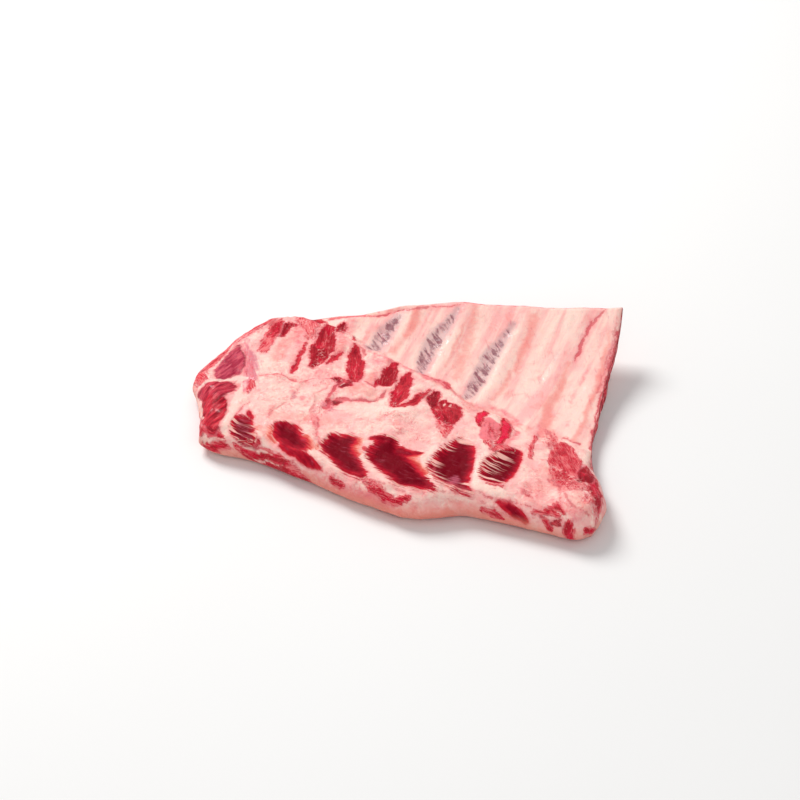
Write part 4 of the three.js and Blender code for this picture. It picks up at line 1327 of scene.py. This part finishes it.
def floor_material():
    """The pale floor of the stage."""
    material = bpy.data.materials.new("pale_floor")
    material.use_nodes = True
    graph = Graph(material.node_tree)
    shader = graph.nodes["Principled BSDF"]
    coordinates = graph.node("ShaderNodeTexCoord")
    haze = graph.noise(coordinates.outputs["Object"], 3.0, 2.0)
    graph.links.new(graph.blend(haze, rgb(238, 238, 238), rgb(242, 242, 242)),
                    shader.inputs["Base Color"])
    shader.inputs["Roughness"].default_value = 0.85
    shader.inputs["Specular IOR Level"].default_value = 0.2
    return material


# Settings


def colour_setting(label, text, red, green, blue):
    """A colour that a user can change, with its default in 0 to 255 numbers."""
    return bpy.props.FloatVectorProperty(
        name=label, description=text, subtype="COLOR", size=4, min=0.0, max=1.0,
        default=rgb(red, green, blue))


class RackSettings(bpy.types.PropertyGroup):
    plate_thickness: bpy.props.FloatProperty(
        name="Plate thickness", description="Thickness of the bare rib plate, in mm",
        default=8.3, min=4.0, max=20.0)
    meat_thickness: bpy.props.FloatProperty(
        name="Meat thickness", description="Thickness of the meaty brisket side, in mm",
        default=17.3, min=8.0, max=40.0)
    lip_height: bpy.props.FloatProperty(
        name="Lip height", description="Height of the torn skirt lip over the plate, in mm",
        default=3.0, min=0.0, max=8.0)
    rise_start: bpy.props.FloatProperty(
        name="Rise start", description="Y where the plate leaves the ground, in mm", default=-4.0)
    rise_radius: bpy.props.FloatProperty(
        name="Rise radius", description="Radius of the ribs' natural curve, in mm",
        default=153.0, min=50.0)
    rib_height: bpy.props.FloatProperty(
        name="Rib height", description="Height of a rib under the membrane, in mm",
        default=1.5, min=0.0, max=5.0)
    rib_half_width: bpy.props.FloatProperty(
        name="Rib half width", description="Half width of a rib, in mm", default=6.5, min=2.0)
    cells_x: bpy.props.IntProperty(
        name="Cells along X", description="Mesh cells along the rack", default=240, min=20)
    cells_y: bpy.props.IntProperty(
        name="Cells along Y", description="Mesh cells across the rack", default=165, min=20)
    rings: bpy.props.IntProperty(
        name="Side rings", description="Mesh rings down the side", default=20, min=4)


class LookSettings(bpy.types.PropertyGroup):
    membrane: colour_setting("Membrane", "Thin membrane over the ribs", 252, 208, 197)
    # Cleanest fat, also the colour of the painted highlights.
    bright_fat_and_highlight: colour_setting("Bright fat", "Cleanest fat and cartilage", 254, 224, 210)
    # Cream fat, also the colour of the highlights painted as seams.
    fat_cream_and_highlight: colour_setting("Fat cream", "Cream fat", 251, 204, 194)
    fat_pink: colour_setting("Fat pink", "Pinker fat", 249, 182, 178)
    salmon: colour_setting("Salmon", "Fat over meat", 245, 150, 142)
    blood: colour_setting("Blood stain", "Fat stained by blood", 240, 118, 128)
    vein: colour_setting("Vein", "Fine veins in the fat", 222, 84, 96)
    flesh: colour_setting("Flesh", "Marbled meat", 212, 44, 64)
    flesh_pale: colour_setting("Pale flesh", "Pale strands in the meat", 234, 124, 126)
    crimson: colour_setting("Crimson", "Bright cut meat", 210, 14, 52)
    skirt_light: colour_setting("Skirt light", "Lightest skirt muscle", 204, 48, 62)
    skirt_bright: colour_setting("Skirt bright", "Brighter skirt muscle", 178, 32, 46)
    skirt_dark: colour_setting("Skirt dark", "Darker skirt muscle", 136, 16, 32)
    window_bright: colour_setting("Window edge", "Edge of the dark muscle", 204, 34, 52)
    window_middle: colour_setting("Window middle", "Middle of the dark muscle", 158, 16, 38)
    window_dark: colour_setting("Window deep", "Deep of the dark muscle", 118, 8, 26)
    halo: colour_setting("Halo", "Orange rim of the dark muscle", 238, 112, 92)
    end_dark: colour_setting("End dark", "Dark of the cut end", 160, 38, 64)
    end_light: colour_setting("End light", "Light of the cut end", 206, 82, 102)
    hair: colour_setting("Hair", "Pale strands over the dark muscle", 255, 198, 186)
    jelly: colour_setting("Jelly", "Wet crimson of the torn lump", 234, 22, 70)
    # Mauve of the film, also the colour of the painted sheen on the dark muscle.
    mauve_and_sheen: colour_setting("Mauve", "Film over deeper meat", 206, 104, 126)
    violet_film: colour_setting("Violet film", "Muscle seen through the membrane", 200, 164, 166)
    violet_deep: colour_setting("Violet deep", "Darkest muscle under the membrane", 136, 82, 92)
    # Colour of the painted contact shade where the side curls under.
    painted_contact_shade: colour_setting("Foot", "Where the side curls under", 224, 136, 116)
    crack: colour_setting("Crack", "Cracks and cut lines", 190, 34, 54)
    bone: colour_setting("Bone", "Cut bone", 240, 206, 186)
    marrow: colour_setting("Marrow", "Marrow of a cut rib", 176, 70, 72)
    softness: bpy.props.FloatProperty(
        name="Softness", description="Share of light that goes below the surface",
        default=0.18, min=0.0, max=1.0)


class StageSettings(bpy.types.PropertyGroup):
    camera_place: bpy.props.FloatVectorProperty(
        name="Camera", description="Where the camera stands", subtype="XYZ", unit="LENGTH",
        default=(0.31335, -1.01103, 0.81992))
    camera_target: bpy.props.FloatVectorProperty(
        name="Target", description="What the camera looks at", subtype="XYZ", unit="LENGTH",
        default=(-0.01074, 0.01071, 0.0))
    lens: bpy.props.FloatProperty(
        name="Lens", description="Focal length on a 36 mm sensor, in mm", default=119.58, min=10.0)
    key_power: bpy.props.FloatProperty(
        name="Key light", description="Power of the soft key light", default=19.5, min=0.0)
    fill_power: bpy.props.FloatProperty(
        name="Fill light", description="Power of the fill light", default=4.0, min=0.0)
    sky: bpy.props.FloatProperty(
        name="Room light", description="Strength of the light from all round", default=0.48, min=0.0)


# Operators


class RIBS_OT_rack(bpy.types.Operator):
    """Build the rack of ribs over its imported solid"""
    bl_idname = "ribs.rack"
    bl_label = "Rack"

    def execute(self, context):
        rack = context.scene.ribs_rack
        bm, masks = build_rack_mesh(rack)
        material = meat_material(context.scene.ribs_looks)
        piece = add_object("rack", bm, material, ["rib_rack"])
        store_masks(piece.data, masks)
        return {"FINISHED"}


class RIBS_OT_stage(bpy.types.Operator):
    """Lay the floor, set the lights and aim the camera"""
    bl_idname = "ribs.stage"
    bl_label = "Stage"

    def execute(self, context):
        stage = context.scene.ribs_stage
        scene = context.scene
        bm = bmesh.new()
        bmesh.ops.create_grid(bm, x_segments=8, y_segments=8, size=3.0)
        mesh = bpy.data.meshes.new("floor")
        bm.to_mesh(mesh)
        bm.free()
        mesh.materials.append(floor_material())
        floor = bpy.data.objects.new("floor", mesh)
        scene.collection.objects.link(floor)

        def area_light(name, place, size, power, tint):
            data = bpy.data.lights.new(name, "AREA")
            data.shape = "DISK"
            data.size = size
            data.energy = power
            data.color = tint
            light = bpy.data.objects.new(name, data)
            light.location = place
            light.rotation_euler = Vector(place).to_track_quat("Z", "Y").to_euler()
            scene.collection.objects.link(light)

        area_light("key", (-0.85, 0.55, 1.15), 0.75, stage.key_power, (1.0, 0.985, 0.965))
        area_light("fill", (0.5, -1.1, 1.0), 1.2, stage.fill_power, (1.0, 0.99, 0.98))

        world = bpy.data.worlds.new("room")
        world.use_nodes = True
        backdrop = world.node_tree.nodes["Background"]
        backdrop.inputs["Color"].default_value = (1.0, 1.0, 1.0, 1.0)
        backdrop.inputs["Strength"].default_value = stage.sky
        scene.world = world
        scene.view_settings.view_transform = "Standard"
        scene.view_settings.look = "None"

        data = bpy.data.cameras.new("camera")
        data.lens = stage.lens
        data.sensor_width = 36.0
        data.sensor_fit = "HORIZONTAL"
        data.clip_start = 0.01
        camera = bpy.data.objects.new("camera", data)
        place = Vector(stage.camera_place)
        camera.location = place
        camera.rotation_euler = (place - Vector(stage.camera_target)).to_track_quat("Z", "Y").to_euler()
        scene.collection.objects.link(camera)
        scene.camera = camera
        return {"FINISHED"}


class RIBS_PT_panel(bpy.types.Panel):
    """Buttons for building the rack of ribs"""
    bl_label = "Rack of Ribs"
    bl_idname = "RIBS_PT_panel"
    bl_space_type = "VIEW_3D"
    bl_region_type = "UI"
    bl_category = "Ribs"

    def draw(self, context):
        for operator in OPERATORS:
            self.layout.operator(operator.bl_idname)


OPERATORS = (RIBS_OT_stage, RIBS_OT_rack)
CLASSES = (RackSettings, LookSettings, StageSettings, *OPERATORS, RIBS_PT_panel)


def register():
    for cls in CLASSES:
        bpy.utils.register_class(cls)
    bpy.types.Scene.ribs_rack = bpy.props.PointerProperty(type=RackSettings)
    bpy.types.Scene.ribs_looks = bpy.props.PointerProperty(type=LookSettings)
    bpy.types.Scene.ribs_stage = bpy.props.PointerProperty(type=StageSettings)


def unregister():
    del bpy.types.Scene.ribs_rack
    del bpy.types.Scene.ribs_looks
    del bpy.types.Scene.ribs_stage
    for cls in reversed(CLASSES):
        bpy.utils.unregister_class(cls)


def main():
    register()
    bpy.ops.ribs.stage()
    bpy.ops.ribs.rack()


if __name__ == "__main__":
    main()
